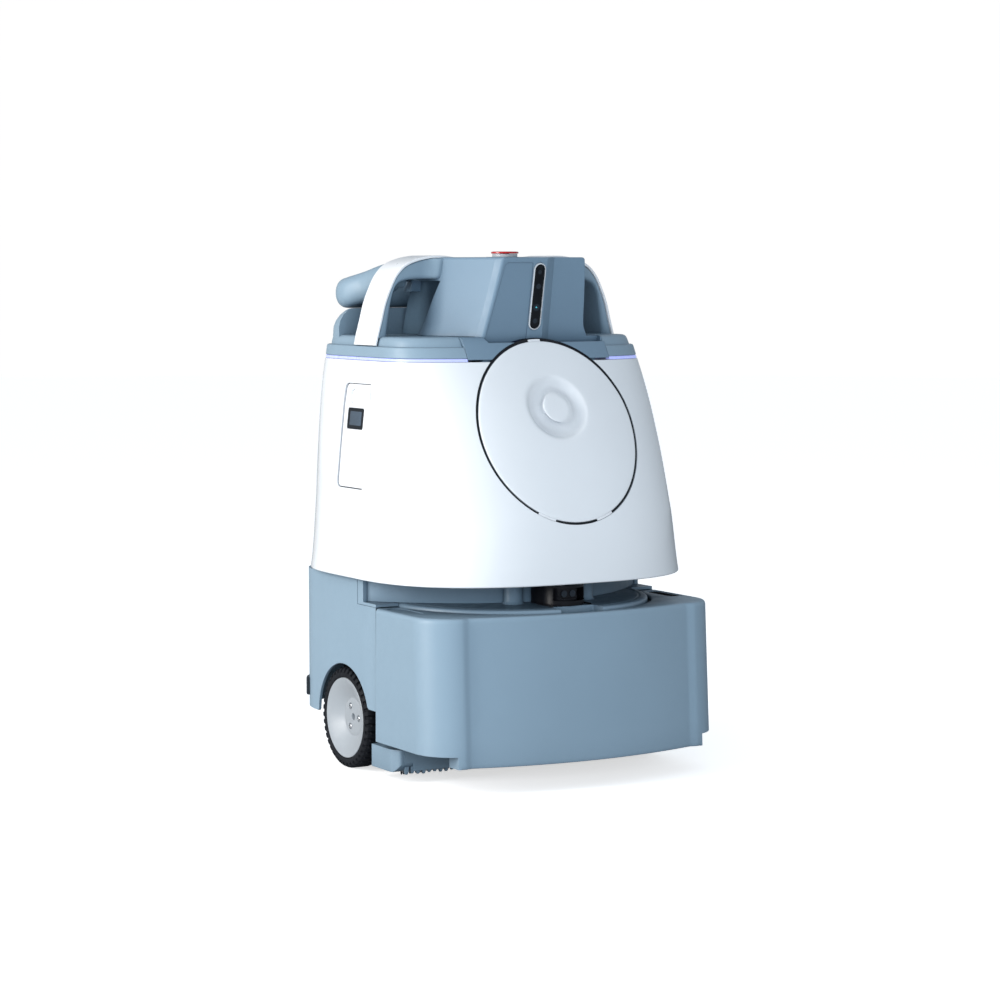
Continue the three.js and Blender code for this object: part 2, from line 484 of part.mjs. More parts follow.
// display on the sloping rear face of the tower, with its start button
{
  const a = new THREE.Vector3(0, 146, 560), b = new THREE.Vector3(0, 112, 640);
  const up = b.clone().sub(a).normalize();
  const nrm = new THREE.Vector3(1, 0, 0).cross(up).normalize().negate();
  const m = new THREE.Matrix4().makeBasis(new THREE.Vector3(-1, 0, 0), up, nrm.y > 0 ? nrm : nrm.negate()).setPosition(0, 126.6, 605.5);
  const at = (g) => S(g.applyMatrix4(m));
  const cover = pieces.get('tower_cover');
  let c = cover[0].subtract(at(prismG(roundRect(-52, 52, -27, 33, 5), 'z', -9, 12)));
  c = c.subtract(at(cylG('z', 8.2, -9, 12, 66, -10, 24))).subtract(at(cylG('z', 5.4, -9, 12, -66, -10, 20)));
  pieces.set('tower_cover', [c, cover[1]]);
  add('screen_bezel', at(prismG(roundRect(-51.6, 51.6, -26.6, 32.6, 5), 'z', -4, 0.8)).subtract(at(prismG(roundRect(-45.4, 45.4, -20.4, 26.4, 3), 'z', -1.8, 4))), 'dark');
  add('screen_glass', at(prismG(roundRect(-45, 45, -20, 26, 3), 'z', -1.4, 0.2)), 'gloss');
  add('start_button', at(cylG('z', 7.8, -4, 3.2, 66, -10, 24)), 'green');
  add('key_switch', at(cylG('z', 5.0, -10, 1.4, -66, -10, 20)).subtract(at(boxG(-67, -65, -13.2, -6.8, -2, 4))), 'steel');
}

// emergency stop
add('estop_button', rev([[0, TOTAL_Z], [14, TOTAL_Z], [17, TOTAL_Z - 0.9], [17.5, TOTAL_Z - 1.7], [17.3, TOTAL_Z - 2.6], [6, TOTAL_Z - 2.6], [6, 628], [0, 628]], 'z', 0, ESTOP_Y, 24), 'red');
add('estop_collar', rev([[15.6, TOTAL_Z - 2.95], [15.9, 645.2], [6.4, 645.2], [6.4, TOTAL_Z - 2.95]], 'z', 0, ESTOP_Y, 20), 'white');

// carrying arches and their straps: profile in X,Z, extruded along Y
const ARCH_Y0 = 38, ARCH_Y1 = 94;
const archOut = [[177.9, 536.2], [175.2, 548], [169.8, 568], [164.6, 588], [157.5, 606], [148, 624], [136, 635.6], [122, 642.2], [108, 645.3], [97, 645.7], [70, 645.2]];
const archIn = [[158.6, 547.9], [157, 562], [154, 582], [150.4, 600], [145, 610.5], [136, 616], [118, 618.6], [70, 619.6]];
function offsetIn(line, d) {
  return line.map((p, i) => {
    const q = line[Math.max(i - 1, 0)], r = line[Math.min(i + 1, line.length - 1)];
    const tx = r[0] - q[0], tz = r[1] - q[1], L = Math.hypot(tx, tz);
    return [p[0] + (tz / L) * -d * -1 * -1, p[1] - (tx / L) * -d * -1 * -1];
  });
}
const towerClear = towerLoft(540, TOWER_TOP, -GAP);
for (const [side, s] of [['left', -1], ['right', 1]]) {
  const mir = (pts) => (s > 0 ? pts : pts.map(([x, z]) => [-x, z]).reverse());
  const mid = offsetIn(archOut, 3.2);
  const mid2 = offsetIn(archOut, 3.55);
  let arch = prism(mir([...archIn.slice().reverse(), [archIn[0][0], 536.2], ...mid2]), 'y', ARCH_Y0, ARCH_Y1).intersect(box(-200, 200, 0, 200, 547.9, 700));
  arch = arch.subtract(towerClear).subtract(box(-68, 68, 0, 200, 600, 700));
  add(`handle_arch_${side}`, arch, 'body');
  let strap = prism(mir([...archOut.slice().reverse(), ...mid].reverse()), 'y', ARCH_Y0 - 1.2, ARCH_Y1 + 1.2);
  strap = strap.subtract(towerClear).subtract(box(-68, 68, 0, 200, 600, 700));
  add(`arch_strap_${side}`, strap, 'white');
}

// push handle, its pivot rod through the tower
const PIV_Y = 109, PIV_Z = 619;
{
  const half = [[112, PIV_Y - 1, PIV_Z], [114, 124, 618.5], [124, 158, 609], [136, 182, 602], [134, 196, 600], [110, 200, 600], [55, 200, 600], [0, 200, 600]];
  const path = [...half, ...half.slice(0, -1).reverse().map(([x, y, z]) => [-x, y, z])];
  let h = tube(path, ellipse(18.5, 15.5, 10), 28);
  for (const s of [-1, 1]) h = h.add(cyl('x', 12.5, s > 0 ? 100 : -122, s > 0 ? 122 : -100, PIV_Y, PIV_Z, 24));
  h = h.subtract(box(-140, 140, 60, 96.2, 560, 660)).subtract(cyl('x', 4.4, -117, 117, PIV_Y, PIV_Z, 16));
  add('push_handle', h, 'body');
  const cover = pieces.get('tower_cover');
  pieces.set('tower_cover', [cover[0].subtract(cyl('x', 4.35, -120, 120, PIV_Y, PIV_Z, 16)), cover[1]]);
  add('handle_pivot_rod', cyl('x', 4, -116, 116, PIV_Y, PIV_Z, 16), 'steel');
}

// ---------------------------------------------------------------- round lid
const lidDisc = cyl('y', LID_R, -210, 0, 0, LID_Z, 56);
const LID_N = new THREE.Vector3(0, -1, 0.463).normalize();   // outward normal of the lid plane
const lidAt = new THREE.Matrix4().makeBasis(new THREE.Vector3(1, 0, 0), new THREE.Vector3(0, 0.463, 1).normalize(), LID_N).setPosition(0, -109.2, 461);
const GRIP_R = 42;
{
  const wall = bodyLoft(300, 560, 0).subtract(bodyLoft(296, 562, LID_T));
  let lid = wall.intersect(lidDisc);
  lid = lid.subtract(S(cylG('z', GRIP_R, -20, 20, 0, 0, 40).applyMatrix4(lidAt)));
  add('lid_cover', lid, 'white');
  const cup = rev([[0, -10.5], [GRIP_R - 3, -10.5], [GRIP_R + 2.5, -5.4], [GRIP_R + 2.5, -4.2], [GRIP_R - 0.6, -4.2], [GRIP_R - 0.6, -1.2], [GRIP_R - 7, -5.5], [GRIP_R - 14, -7.6], [19.5, -8.2], [18.6, -2.4], [17, -1.6], [0, -1.6]].reverse().map(([r, a]) => [r, a]), 'z', 0, 0, 40);
  const g = revG([[0, -10.8], [GRIP_R - 2, -10.8], [GRIP_R - 0.6, -9], [GRIP_R - 0.6, -0.6], [GRIP_R - 7, -5.0], [GRIP_R - 14, -7.4], [20.5, -8.2], [19, -2.2], [17.5, -1.4], [0, -1.4]], 'z', 0, 0, 30);
  const slot = cylG('z', 27, -7.6, -3, 0, 0, 40);
  g.applyMatrix4(lidAt);
  let grip = S(g);
  // finger undercut on the lower left of the centre disc
  const u0 = S(cylG('z', 21.5, -6.8, -3.4, 0, 0, 32).applyMatrix4(lidAt)).subtract(S(cylG('z', 13, -8, -2, 0, 0, 24).applyMatrix4(lidAt)))
    .intersect(S(boxG(-22, 4, -22, 4, -9, 0).applyMatrix4(lidAt)));
  grip = grip.subtract(u0);
  add('lid_grip', grip, 'white');
}
for (const [side, s] of [['left', -1], ['right', 1]]) {
  const c = s * 40.6;
  const A = [[HINGE_Y - 5.2, HINGE_Z - 2], [HINGE_Y - 3, HINGE_Z - 4.8], [HINGE_Y + 4, HINGE_Z - 6], [-112, 289], [-98, 300], [-96, 326], [-104, 346], [-124, 355], [-141.2, 354], [-145.4, 344.5], [-131, 346], [-113, 339], [-105, 324], [-107, 305], [-117, 297], [HINGE_Y + 4, HINGE_Z + 6], [HINGE_Y - 3, HINGE_Z + 4.8], [HINGE_Y - 5.2, HINGE_Z + 2]];
  const arm = prism(A, 'x', c - 5, c + 5).subtract(cyl('x', 3.4, c - 8, c + 8, HINGE_Y, HINGE_Z, 14)).subtract(bodyLoft(300, 560, -5).subtract(bodyLoft(296, 562, LID_T + GAP)));
  add(`lid_hinge_arm_${side}`, arm, 'lightgrey');
}
add('lid_hinge_pin', cyl('x', 3, -52, 52, HINGE_Y, HINGE_Z, 14), 'steel');
add('lid_hinge_bracket', box(-32, 32, -159, -146, 289, 306).add(box(-32, 32, -148, -143, 258, 306)).subtract(cyl('x', 3.4, -40, 40, HINGE_Y, HINGE_Z, 14)), 'dark');
{
  // bulkhead behind the lid that carries the seal lip
  let f = bodyLoft(300, 560, LID_T + 1.1).subtract(bodyLoft(296, 562, LID_T + 8)).intersect(cyl('y', 119, -210, -20, 0, LID_Z, 36).subtract(cyl('y', 97, -210, 0, 0, LID_Z, 36)));
  f = f.subtract(box(-50, 50, -200, 0, 300, 356));
  f = f.subtract(box(-250, 250, -200, 0, 539.5, 600)).subtract(bodyLoft(300, 560, -5).subtract(bodyLoft(296, 562, 4.3))).subtract(box(-34, 34, -180, -120, 300, 320));
  add('lid_frame', f, 'black');
}

// dust chamber, bag and collar
{
  const cutFront = bodyLoft(300, 560, LID_T + 9.2);
  let c = cyl('y', 84, -160, 70, 0, LID_Z, 32).intersect(cutFront).subtract(cyl('y', 81, -190, 66.5, 0, LID_Z, 32)).subtract(cyl('y', 19.6, 50, 90, 0, LID_Z, 24));
  for (const s of [-1, 1]) c = c.subtract(box(s > 0 ? 32 : -49, s > 0 ? 49 : -32, -200, -110, 330, 371));
  add('dust_chamber', c, 'dark');
  add('bag_collar', rev([[17.5, 55.5], [34, 55.5], [34, 58.5], [20, 58.5], [19, 66], [17.5, 66]], 'y', 0, LID_Z, 28), 'bag');
  add('dust_bag', rev([[0, -84], [36, -80], [60, -64], [71, -36], [74, -4], [70, 26], [56, 44], [30, 51.5], [0, 53]], 'y', 0, LID_Z - 3, 28), 'bag');
}

// vacuum motor housing, impeller and filter, control electronics
{
  const vx = -96, vy = 128;
  let v = cyl('z', 52, 258, 330, vx, vy, 32).subtract(cyl('z', 47, 262, 296, vx, vy, 32)).subtract(cyl('z', 18, 250, 270, vx, vy, 24)).subtract(cyl('z', 5, 290, 312, vx, vy, 16)).subtract(box(vx - 14, vx + 14, vy, vy + 80, 266, 292));
  add('vacuum_motor', v, 'motor');
  let imp = cyl('z', 42, 265, 268, vx, vy, 28).add(cyl('z', 4.4, 264, 310, vx, vy, 16));
  for (let i = 0; i < 8; i++) {
    const b = boxG(8, 41, -1, 1, 267.5, 288);
    b.rotateZ((Math.PI * i) / 4).translate(vx, vy, 0);
    imp = imp.add(S(b));
  }
  add('impeller', imp, 'motor');
  add('exhaust_filter', box(-60, 60, 186, 206, 280, 352), 'bag');
  add('control_board', box(40, 150, 60, 170, 262, 268).add(box(60, 100, 80, 130, 267, 288)), 'green');
}

finish();
export default part;
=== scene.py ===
import json
import math

import bmesh
import bpy
import numpy as np
from mathutils import Matrix, Vector


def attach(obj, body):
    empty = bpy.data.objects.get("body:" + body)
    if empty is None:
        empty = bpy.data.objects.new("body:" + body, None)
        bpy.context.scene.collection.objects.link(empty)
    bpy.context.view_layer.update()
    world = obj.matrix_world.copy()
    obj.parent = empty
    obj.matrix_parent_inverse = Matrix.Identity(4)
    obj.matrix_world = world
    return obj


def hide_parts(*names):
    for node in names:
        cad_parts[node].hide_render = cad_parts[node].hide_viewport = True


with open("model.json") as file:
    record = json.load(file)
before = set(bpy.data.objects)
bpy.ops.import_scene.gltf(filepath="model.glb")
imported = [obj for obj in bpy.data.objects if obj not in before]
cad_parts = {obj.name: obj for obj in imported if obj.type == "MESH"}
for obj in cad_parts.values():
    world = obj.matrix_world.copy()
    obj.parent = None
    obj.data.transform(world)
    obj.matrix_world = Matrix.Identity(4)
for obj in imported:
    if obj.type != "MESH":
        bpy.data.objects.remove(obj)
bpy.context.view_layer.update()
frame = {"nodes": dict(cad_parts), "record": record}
N = frame["nodes"]
SC = bpy.context.scene
DY = -12.0

# ------------------------------------------------------------------ numbers shared with the part
BODY = np.array([
    [246.7, 215.0, -166.6], [262, 211.8, -166.6], [280, 209.0, -166.0], [300, 206.4, -164.8],
    [322, 203.8, -162.4], [343, 201.5, -156.7], [375, 198.8, -146.2], [405, 196.0, -135.2],
    [435, 193.0, -122.0], [466, 189.5, -106.6], [495, 185.4, -89.5], [520, 180.5, -74.9],
    [535, 177.8, -65.4], [548, 175.6, -57.4], [560, 174.0, -51.5]])
TOWER = np.array([
    [540, 78, -49.5, 110, 153], [548, 76, -51, 108.5, 150], [560, 70.5, -53.3, 103, 146], [600, 67, -61, 95.5, 130],
    [640, 63, -68.5, 88, 112], [646, 62.3, -69.3, 87, 108.5]])
TOWER_TOP = 646.0
LEFT_EDGE = np.array([[540, 73.5], [560, 69.5], [600, 61.5], [640, 54.5], [646, 53.2]])
YC, REAR_Y, SHELL_Z0, SHELL_Z1, DECK_Z = 22.5, 217.0, 246.7, 517.0, 547.2
LID_Z, LID_R = 432.2, 110.3


def pchip(xs, ys):
    """Smooth curve through a table that doesn't overshoot."""
    xs, ys = np.asarray(xs, float), np.asarray(ys, float)
    h, d = np.diff(xs), np.diff(ys) / np.diff(xs)
    m = np.zeros(len(xs))
    for i in range(1, len(xs) - 1):
        if d[i - 1] * d[i] > 0:
            w1, w2 = 2 * h[i] + h[i - 1], h[i] + 2 * h[i - 1]
            m[i] = (w1 + w2) / (w1 / d[i - 1] + w2 / d[i])
    m[0], m[-1] = d[0], d[-1]

    def f(x):
        x = np.clip(np.asarray(x, float), xs[0], xs[-1])
        i = np.clip(np.searchsorted(xs, x) - 1, 0, len(xs) - 2)
        t = (x - xs[i]) / h[i]
        return (ys[i] * (2 * t**3 - 3 * t**2 + 1) + h[i] * m[i] * (t**3 - 2 * t**2 + t)
                + ys[i + 1] * (-2 * t**3 + 3 * t**2) + h[i] * m[i + 1] * (t**3 - t**2))
    return f


half_w, front_y0 = pchip(BODY[:, 0], BODY[:, 1]), pchip(BODY[:, 0], BODY[:, 2])


# ------------------------------------------------------------------ mesh helpers
def put(name, verts, faces):
    v = np.asarray(verts, float)
    w = np.column_stack([v[:, 0] / 1000, (v[:, 1] + DY) / 1000, v[:, 2] / 1000])
    me = bpy.data.meshes.new(name)
    me.from_pydata(w.tolist(), [], [list(map(int, f)) for f in faces])
    me.update()
    o = bpy.data.objects.new(name, me)
    SC.collection.objects.link(o)
    bm = bmesh.new()
    bm.from_mesh(me)
    bmesh.ops.recalc_face_normals(bm, faces=bm.faces)
    if bm.calc_volume(signed=True) < 0:
        bmesh.ops.reverse_faces(bm, faces=bm.faces)
    bm.to_mesh(me)
    bm.free()
    return o


def loft(name, rings, closed=False):
    n, k = len(rings[0]), len(rings)
    v = np.concatenate([np.asarray(r, float) for r in rings])
    f = []
    for j in range(k if closed else k - 1):
        a, b = j * n, ((j + 1) % k) * n
        f += [[a + i, a + (i + 1) % n, b + (i + 1) % n, b + i] for i in range(n)]
    if not closed:
        f += [list(range(n))[::-1], list(range((k - 1) * n, k * n))]
    return put(name, v, f)


def box(x0, x1, y0, y1, z0, z1, name="t"):
    r = lambda z: [(x0, y0, z), (x1, y0, z), (x1, y1, z), (x0, y1, z)]
    return loft(name, [r(z0), r(z1)])


def prism(pts, axis, a0, a1, name="t"):
    if axis == "z":
        g = lambda a: [(u, v, a) for u, v in pts]
    elif axis == "x":
        g = lambda a: [(a, u, v) for u, v in pts]
    else:
        g = lambda a: [(u, a, v) for u, v in pts]
    return loft(name, [g(a0), g(a1)])


def rev(profile, axis, c1, c2, n=96, name="t"):
    """Solid of revolution. The profile is a closed list of (radius, along), or starts and ends on the axis."""
    closed = profile[0][0] > 1e-6
    prof = [p for p in profile if p[0] > 1e-6]
    v, f = [], []
    for r, a in prof:
        for i in range(n):
            t = 2 * math.pi * i / n
            u, w = r * math.cos(t), r * math.sin(t)
            v.append({"x": (a, c1 + u, c2 + w), "y": (c1 + u, a, c2 + w), "z": (c1 + u, c2 + w, a)}[axis])
    k = len(prof)
    for j in range(k if closed else k - 1):
        a, b = j * n, ((j + 1) % k) * n
        f += [[a + i, a + (i + 1) % n, b + (i + 1) % n, b + i] for i in range(n)]
    if not closed:
        f += [list(range(n))[::-1], list(range((k - 1) * n, k * n))]
    return put(name, v, f)


def cyl(axis, r, a0, a1, c1, c2, n=64, name="t", c=0.0):
    p = [(0, a0), (r - c, a0), (r, a0 + c), (r, a1 - c), (r - c, a1), (0, a1)] if c else [(0, a0), (r, a0), (r, a1), (0, a1)]
    return rev(p, axis, c1, c2, n, name)


def boolean(o, tools, op="DIFFERENCE", solver="MANIFOLD"):
    for t in tools if isinstance(tools, (list, tuple)) else [tools]:
        before = len(o.data.polygons)
        for s in (solver, "EXACT"):
            m = o.modifiers.new("b", "BOOLEAN")
            m.operation, m.object, m.solver = op, t, s
            dg = bpy.context.evaluated_depsgraph_get()
            me = bpy.data.meshes.new_from_object(o.evaluated_get(dg))
            o.modifiers.clear()
            if len(me.polygons) > 3:
                o.data = me
                break
        else:
            print("boolean came out empty:", o.name, op, before)
        bpy.data.objects.remove(t)
    return o


def cut(o, *tools):
    return boolean(o, list(tools))


def join(o, *tools):
    return boolean(o, list(tools), "UNION")


def keep(o, *tools):
    return boolean(o, list(tools), "INTERSECT")


def merge(name, objs):
    """Several separate shapes as one object, without touching them."""
    bm = bmesh.new()
    for o in objs:
        bm.from_mesh(o.data)
    me = bpy.data.meshes.new(name)
    bm.to_mesh(me)
    bm.free()
    for o in objs:
        bpy.data.objects.remove(o)
    out = bpy.data.objects.new(name, me)
    SC.collection.objects.link(out)
    return out


def smooth(o, angle=32):
    """Smooth shading that breaks at creases."""
    me = o.data
    bm = bmesh.new()
    bm.from_mesh(me)
    bmesh.ops.remove_doubles(bm, verts=bm.verts, dist=2e-6)
    bmesh.ops.dissolve_degenerate(bm, edges=bm.edges, dist=1e-7)
    lim = math.radians(angle)
    for f in bm.faces:
        f.smooth = True
    for e in bm.edges:
        e.smooth = len(e.link_faces) == 2 and e.calc_face_angle(0.0) < lim
    bm.to_mesh(me)
    bm.free()
    return o


def body_field(p):
    """Signed distance, roughly, to the upper body's outer surface, and its outward normal."""
    def g(q):
        x, y, z = q[:, 0], q[:, 1], q[:, 2]
        a = half_w(z)
        s = y - YC
        front = s < 0
        f = np.where(front, YC - front_y0(z), REAR_Y - YC)
        n = np.where(front, 2.7, 5 + 2 * (z - 246.7) / 273)
        return ((np.abs(x) / a) ** n + (np.abs(s) / f) ** n) ** (1 / n) - 1
    base, e = g(p), 0.05
    grad = np.stack([(g(p + np.eye(3)[k] * e) - g(p - np.eye(3)[k] * e)) / (2 * e) for k in range(3)], 1)
    length = np.linalg.norm(grad, axis=1) + 1e-12
    return base / length, grad / length[:, None]


def body_normals(o, inner=(3.2, 3.6, 4.0), tol=0.5):
    """Gives the skin of the upper body its exact normals, so that cuts leave no shading marks."""
    me = o.data
    co = np.array([v.co for v in me.vertices]) * 1000
    co[:, 1] -= DY
    d, nrm = body_field(co)
    cn = np.array([c.vector for c in me.corner_normals])
    li = np.array([l.vertex_index for l in me.loops])
    for p in me.polygons:
        pn = np.array(p.normal)
        ids = li[p.loop_start:p.loop_start + p.loop_total]
        dd = d[ids]
        if np.all(np.abs(dd) < tol * 0.3) and pn @ nrm[ids[0]] > 0.93:
            cn[p.loop_start:p.loop_start + p.loop_total] = nrm[ids]
    me.normals_split_custom_set(cn.tolist())
    return o


# ------------------------------------------------------------------ outlines
def resample(pts, n):
    """n points evenly spaced round a closed outline."""
    p = np.vstack([pts, pts[:1]])
    s = np.concatenate([[0], np.cumsum(np.linalg.norm(np.diff(p, axis=0), axis=1))])
    t = np.linspace(0, s[-1], n, endpoint=False)
    return np.stack([np.interp(t, s, p[:, k]) for k in range(p.shape[1])], 1)


def body_ring(z, off=0.0, zo=None, n=288):
    a = float(half_w(z)) - off
    f = YC - float(front_y0(z)) - off
    r = REAR_Y - YC - off
    nr = 5 + 2 * (z - 246.7) / 273
    # even angles of a rounder curve, so that the flat sides keep enough points
    t = np.linspace(0, 2 * math.pi, 4001)[:-1] + math.pi / 2
    c, s = np.cos(t), np.sin(t)
    e = np.where(s < 0, 2 / 2.7, 2 / nr)
    x = a * np.sign(c) * np.abs(c) ** e
    y = YC + np.where(s < 0, f, r) * np.sign(s) * np.abs(s) ** e
    q = resample(np.stack([x, y], 1), n)
    return np.column_stack([q, np.full(n, z if zo is None else zo)])


def round_poly(pts, radii, n=6):
    """Closed polygon with its corners rounded."""
    out = []
    k = len(pts)
    for i in range(k):
        p, a, b = np.array(pts[i], float), np.array(pts[i - 1], float), np.array(pts[(i + 1) % k], float)
        r = radii[i] if isinstance(radii, (list, tuple)) else radii
        u, v = (a - p), (b - p)
        lu, lv = np.linalg.norm(u), np.linalg.norm(v)
        u, v = u / lu, v / lv
        half = math.acos(max(-1, min(1, float(u @ v)))) / 2
        d = min(r / math.tan(half), lu * 0.46, lv * 0.46) if r > 0 else 0
        s, e = p + u * d, p + v * d
        for j in range(n + 1):
            t = j / n
            out.append((1 - t) ** 2 * s + 2 * t * (1 - t) * p + t * t * e)
    return np.array(out)


def round_rect(u0, u1, v0, v1, r, n=6):
    out = []
    for cu, cv, a in [(u1 - r, v0 + r, -90), (u1 - r, v1 - r, 0), (u0 + r, v1 - r, 90), (u0 + r, v0 + r, 180)]:
        for i in range(n + 1):
            t = math.radians(a + 90 * i / n)
            out.append((cu + r * math.cos(t), cv + r * math.sin(t)))
    return out


def spline(pts, n, closed=False):
    """Centripetal Catmull-Rom through points, n samples evenly spaced by length."""
    p = [np.array(q, float) for q in pts]
    ext = [2 * p[0] - p[1]] + p + [2 * p[-1] - p[-2]]
    out = []
    for i in range(1, len(ext) - 2):
        p0, p1, p2, p3 = ext[i - 1:i + 3]
        t0 = 0.0
        t1 = t0 + np.linalg.norm(p1 - p0) ** 0.5
        t2 = t1 + np.linalg.norm(p2 - p1) ** 0.5
        t3 = t2 + np.linalg.norm(p3 - p2) ** 0.5
        for t in np.linspace(t1, t2, 24, endpoint=False):
            a1 = (t1 - t) / (t1 - t0) * p0 + (t - t0) / (t1 - t0) * p1
            a2 = (t2 - t) / (t2 - t1) * p1 + (t - t1) / (t2 - t1) * p2
            a3 = (t3 - t) / (t3 - t2) * p2 + (t - t2) / (t3 - t2) * p3
            b1 = (t2 - t) / (t2 - t0) * a1 + (t - t0) / (t2 - t0) * a2
            b2 = (t3 - t) / (t3 - t1) * a2 + (t - t1) / (t3 - t1) * a3
            out.append((t2 - t) / (t2 - t1) * b1 + (t - t1) / (t2 - t1) * b2)
    out.append(p[-1])
    out = np.array(out)
    s = np.concatenate([[0], np.cumsum(np.linalg.norm(np.diff(out, axis=0), axis=1))])
    t = np.linspace(0, s[-1], n)
    return np.stack([np.interp(t, s, out[:, k]) for k in range(out.shape[1])], 1)


# ------------------------------------------------------------------ materials
MATS = {}


def material(name, colour, rough, *, metal=0.0, spec=0.5, coat=0.0, coat_rough=0.05, grain=0.0, grain_size=900.0, vary=0.03,
             rough_vary=0.08, bevel=0.0, emit=None, emit_strength=0.0, brushed=None, subsurface=0.0, transmission=0.0, ior=1.46,
             wear=0.0, occl=0.0, occl_dist=0.07, occl_tint=(0.10, 0.16, 0.22)):
    """A moulded, cast or brushed finish: colour that drifts a little, roughness that is never even, and a fine grain;
    with occl set, painted shade darkens the colour in creases and hollows.
    """
    m = bpy.data.materials.new(name)
    m.use_nodes = True
    t = m.node_tree
    n, l = t.nodes, t.links
    b = n["Principled BSDF"]
    co = n.new("ShaderNodeTexCoord")
    big = n.new("ShaderNodeTexNoise")
    big.inputs["Scale"].default_value = 9.0
    big.inputs["Detail"].default_value = 4.0
    l.new(co.outputs["Object"], big.inputs["Vector"])
    ramp = n.new("ShaderNodeValToRGB")
    c = np.array(colour, float)
    lo, hi = np.clip(c * (1 - vary), 0, 1), np.clip(c * (1 + vary), 0, 1)
    ramp.color_ramp.elements[0].position, ramp.color_ramp.elements[1].position = 0.3, 0.7
    ramp.color_ramp.elements[0].color = (*lo, 1)
    ramp.color_ramp.elements[1].color = (*hi, 1)
    l.new(big.outputs["Fac"], ramp.inputs["Fac"])
    colour_out = ramp.outputs["Color"]
    if wear:
        geo = n.new("ShaderNodeNewGeometry")
        edge = n.new("ShaderNodeMapRange")
        edge.inputs["From Min"].default_value, edge.inputs["From Max"].default_value = 0.52, 0.62
        edge.inputs["To Max"].default_value = wear
        l.new(geo.outputs["Pointiness"], edge.inputs["Value"])
        mix = n.new("ShaderNodeMix")
        mix.data_type = "RGBA"
        l.new(edge.outputs["Result"], mix.inputs["Factor"])
        l.new(colour_out, mix.inputs[6])
        mix.inputs[7].default_value = (*np.clip(c * 1.25 + 0.03, 0, 1), 1)
        colour_out = mix.outputs[2]
    if occl:
        # painted shade: the base colour is darkened towards occl_tint where ambient occlusion finds creases and
        # hollows
        ao = n.new("ShaderNodeAmbientOcclusion")
        ao.samples = 6
        ao.inputs["Distance"].default_value = occl_dist
        am = n.new("ShaderNodeMapRange")
        am.inputs["From Min"].default_value, am.inputs["From Max"].default_value = 0.18, 0.92
        am.inputs["To Min"].default_value, am.inputs["To Max"].default_value = 1 - occl, 1.0
        l.new(ao.outputs["AO"], am.inputs["Value"])
        mm = n.new("ShaderNodeMix")
        mm.data_type = "RGBA"
        mm.inputs[6].default_value = (*np.clip(c * np.array(occl_tint), 0, 1), 1)
        l.new(am.outputs["Result"], mm.inputs["Factor"])
        l.new(colour_out, mm.inputs[7])
        colour_out = mm.outputs[2]
    l.new(colour_out, b.inputs["Base Color"])
    fine = n.new("ShaderNodeTexNoise")
    fine.inputs["Scale"].default_value = 55.0
    fine.inputs["Detail"].default_value = 6.0
    src = co.outputs["Object"]
    if brushed:
        mp = n.new("ShaderNodeMapping")
        mp.inputs["Scale"].default_value = brushed
        l.new(src, mp.inputs["Vector"])
        src = mp.outputs["Vector"]
    l.new(src, fine.inputs["Vector"])
    rr = n.new("ShaderNodeMapRange")
    rr.inputs["From Min"].default_value, rr.inputs["From Max"].default_value = 0.3, 0.7
    rr.inputs["To Min"].default_value, rr.inputs["To Max"].default_value = max(rough - rough_vary, 0.02), min(rough + rough_vary, 1)
    l.new(fine.outputs["Fac"], rr.inputs["Value"])
    l.new(rr.outputs["Result"], b.inputs["Roughness"])
    b.inputs["Metallic"].default_value = metal
    b.inputs["Specular IOR Level"].default_value = spec
    b.inputs["IOR"].default_value = ior
    b.inputs["Coat Weight"].default_value = coat
    b.inputs["Coat Roughness"].default_value = coat_rough
    if subsurface:
        b.inputs["Subsurface Weight"].default_value = subsurface
        b.inputs["Subsurface Radius"].default_value = (0.004, 0.004, 0.005)
        b.inputs["Subsurface Scale"].default_value = 0.5
    if transmission:
        b.inputs["Transmission Weight"].default_value = transmission
    normal = None
    if bevel:
        bv = n.new("ShaderNodeBevel")
        bv.samples = 4
        bv.inputs["Radius"].default_value = bevel / 1000
        normal = bv.outputs["Normal"]
    if grain:
        g = n.new("ShaderNodeTexNoise")
        g.inputs["Scale"].default_value = grain_size
        g.inputs["Detail"].default_value = 3.0
        l.new(src, g.inputs["Vector"])
        bp = n.new("ShaderNodeBump")
        bp.inputs["Strength"].default_value = grain
        bp.inputs["Distance"].default_value = 0.0002
        l.new(g.outputs["Fac"], bp.inputs["Height"])
        if normal is not None:
            l.new(normal, bp.inputs["Normal"])
        normal = bp.outputs["Normal"]
    if normal is not None:
        l.new(normal, b.inputs["Normal"])
        if coat and bevel:
            l.new(bv.outputs["Normal"], b.inputs["Coat Normal"])
    if emit:
        b.inputs["Emission Color"].default_value = (*emit, 1)
        b.inputs["Emission Strength"].default_value = emit_strength
    MATS[name] = m
    return m


# blue, the tower's darker blue and white get painted shade in creases and hollows through occl
material("blue", (0.238, 0.330, 0.408), 0.42, spec=0.45, grain=0.35, grain_size=1500, vary=0.02, bevel=1.1, wear=0.12, occl=0.70)
# painted shade: a darker copy of blue for the sensor tower, whose front faces slightly down and gets less light
material("blue_tower_painted_shade", (0.172, 0.256, 0.338), 0.42, spec=0.45, grain=0.35, grain_size=1500, vary=0.02, bevel=1.4, wear=0.12, occl=0.70)
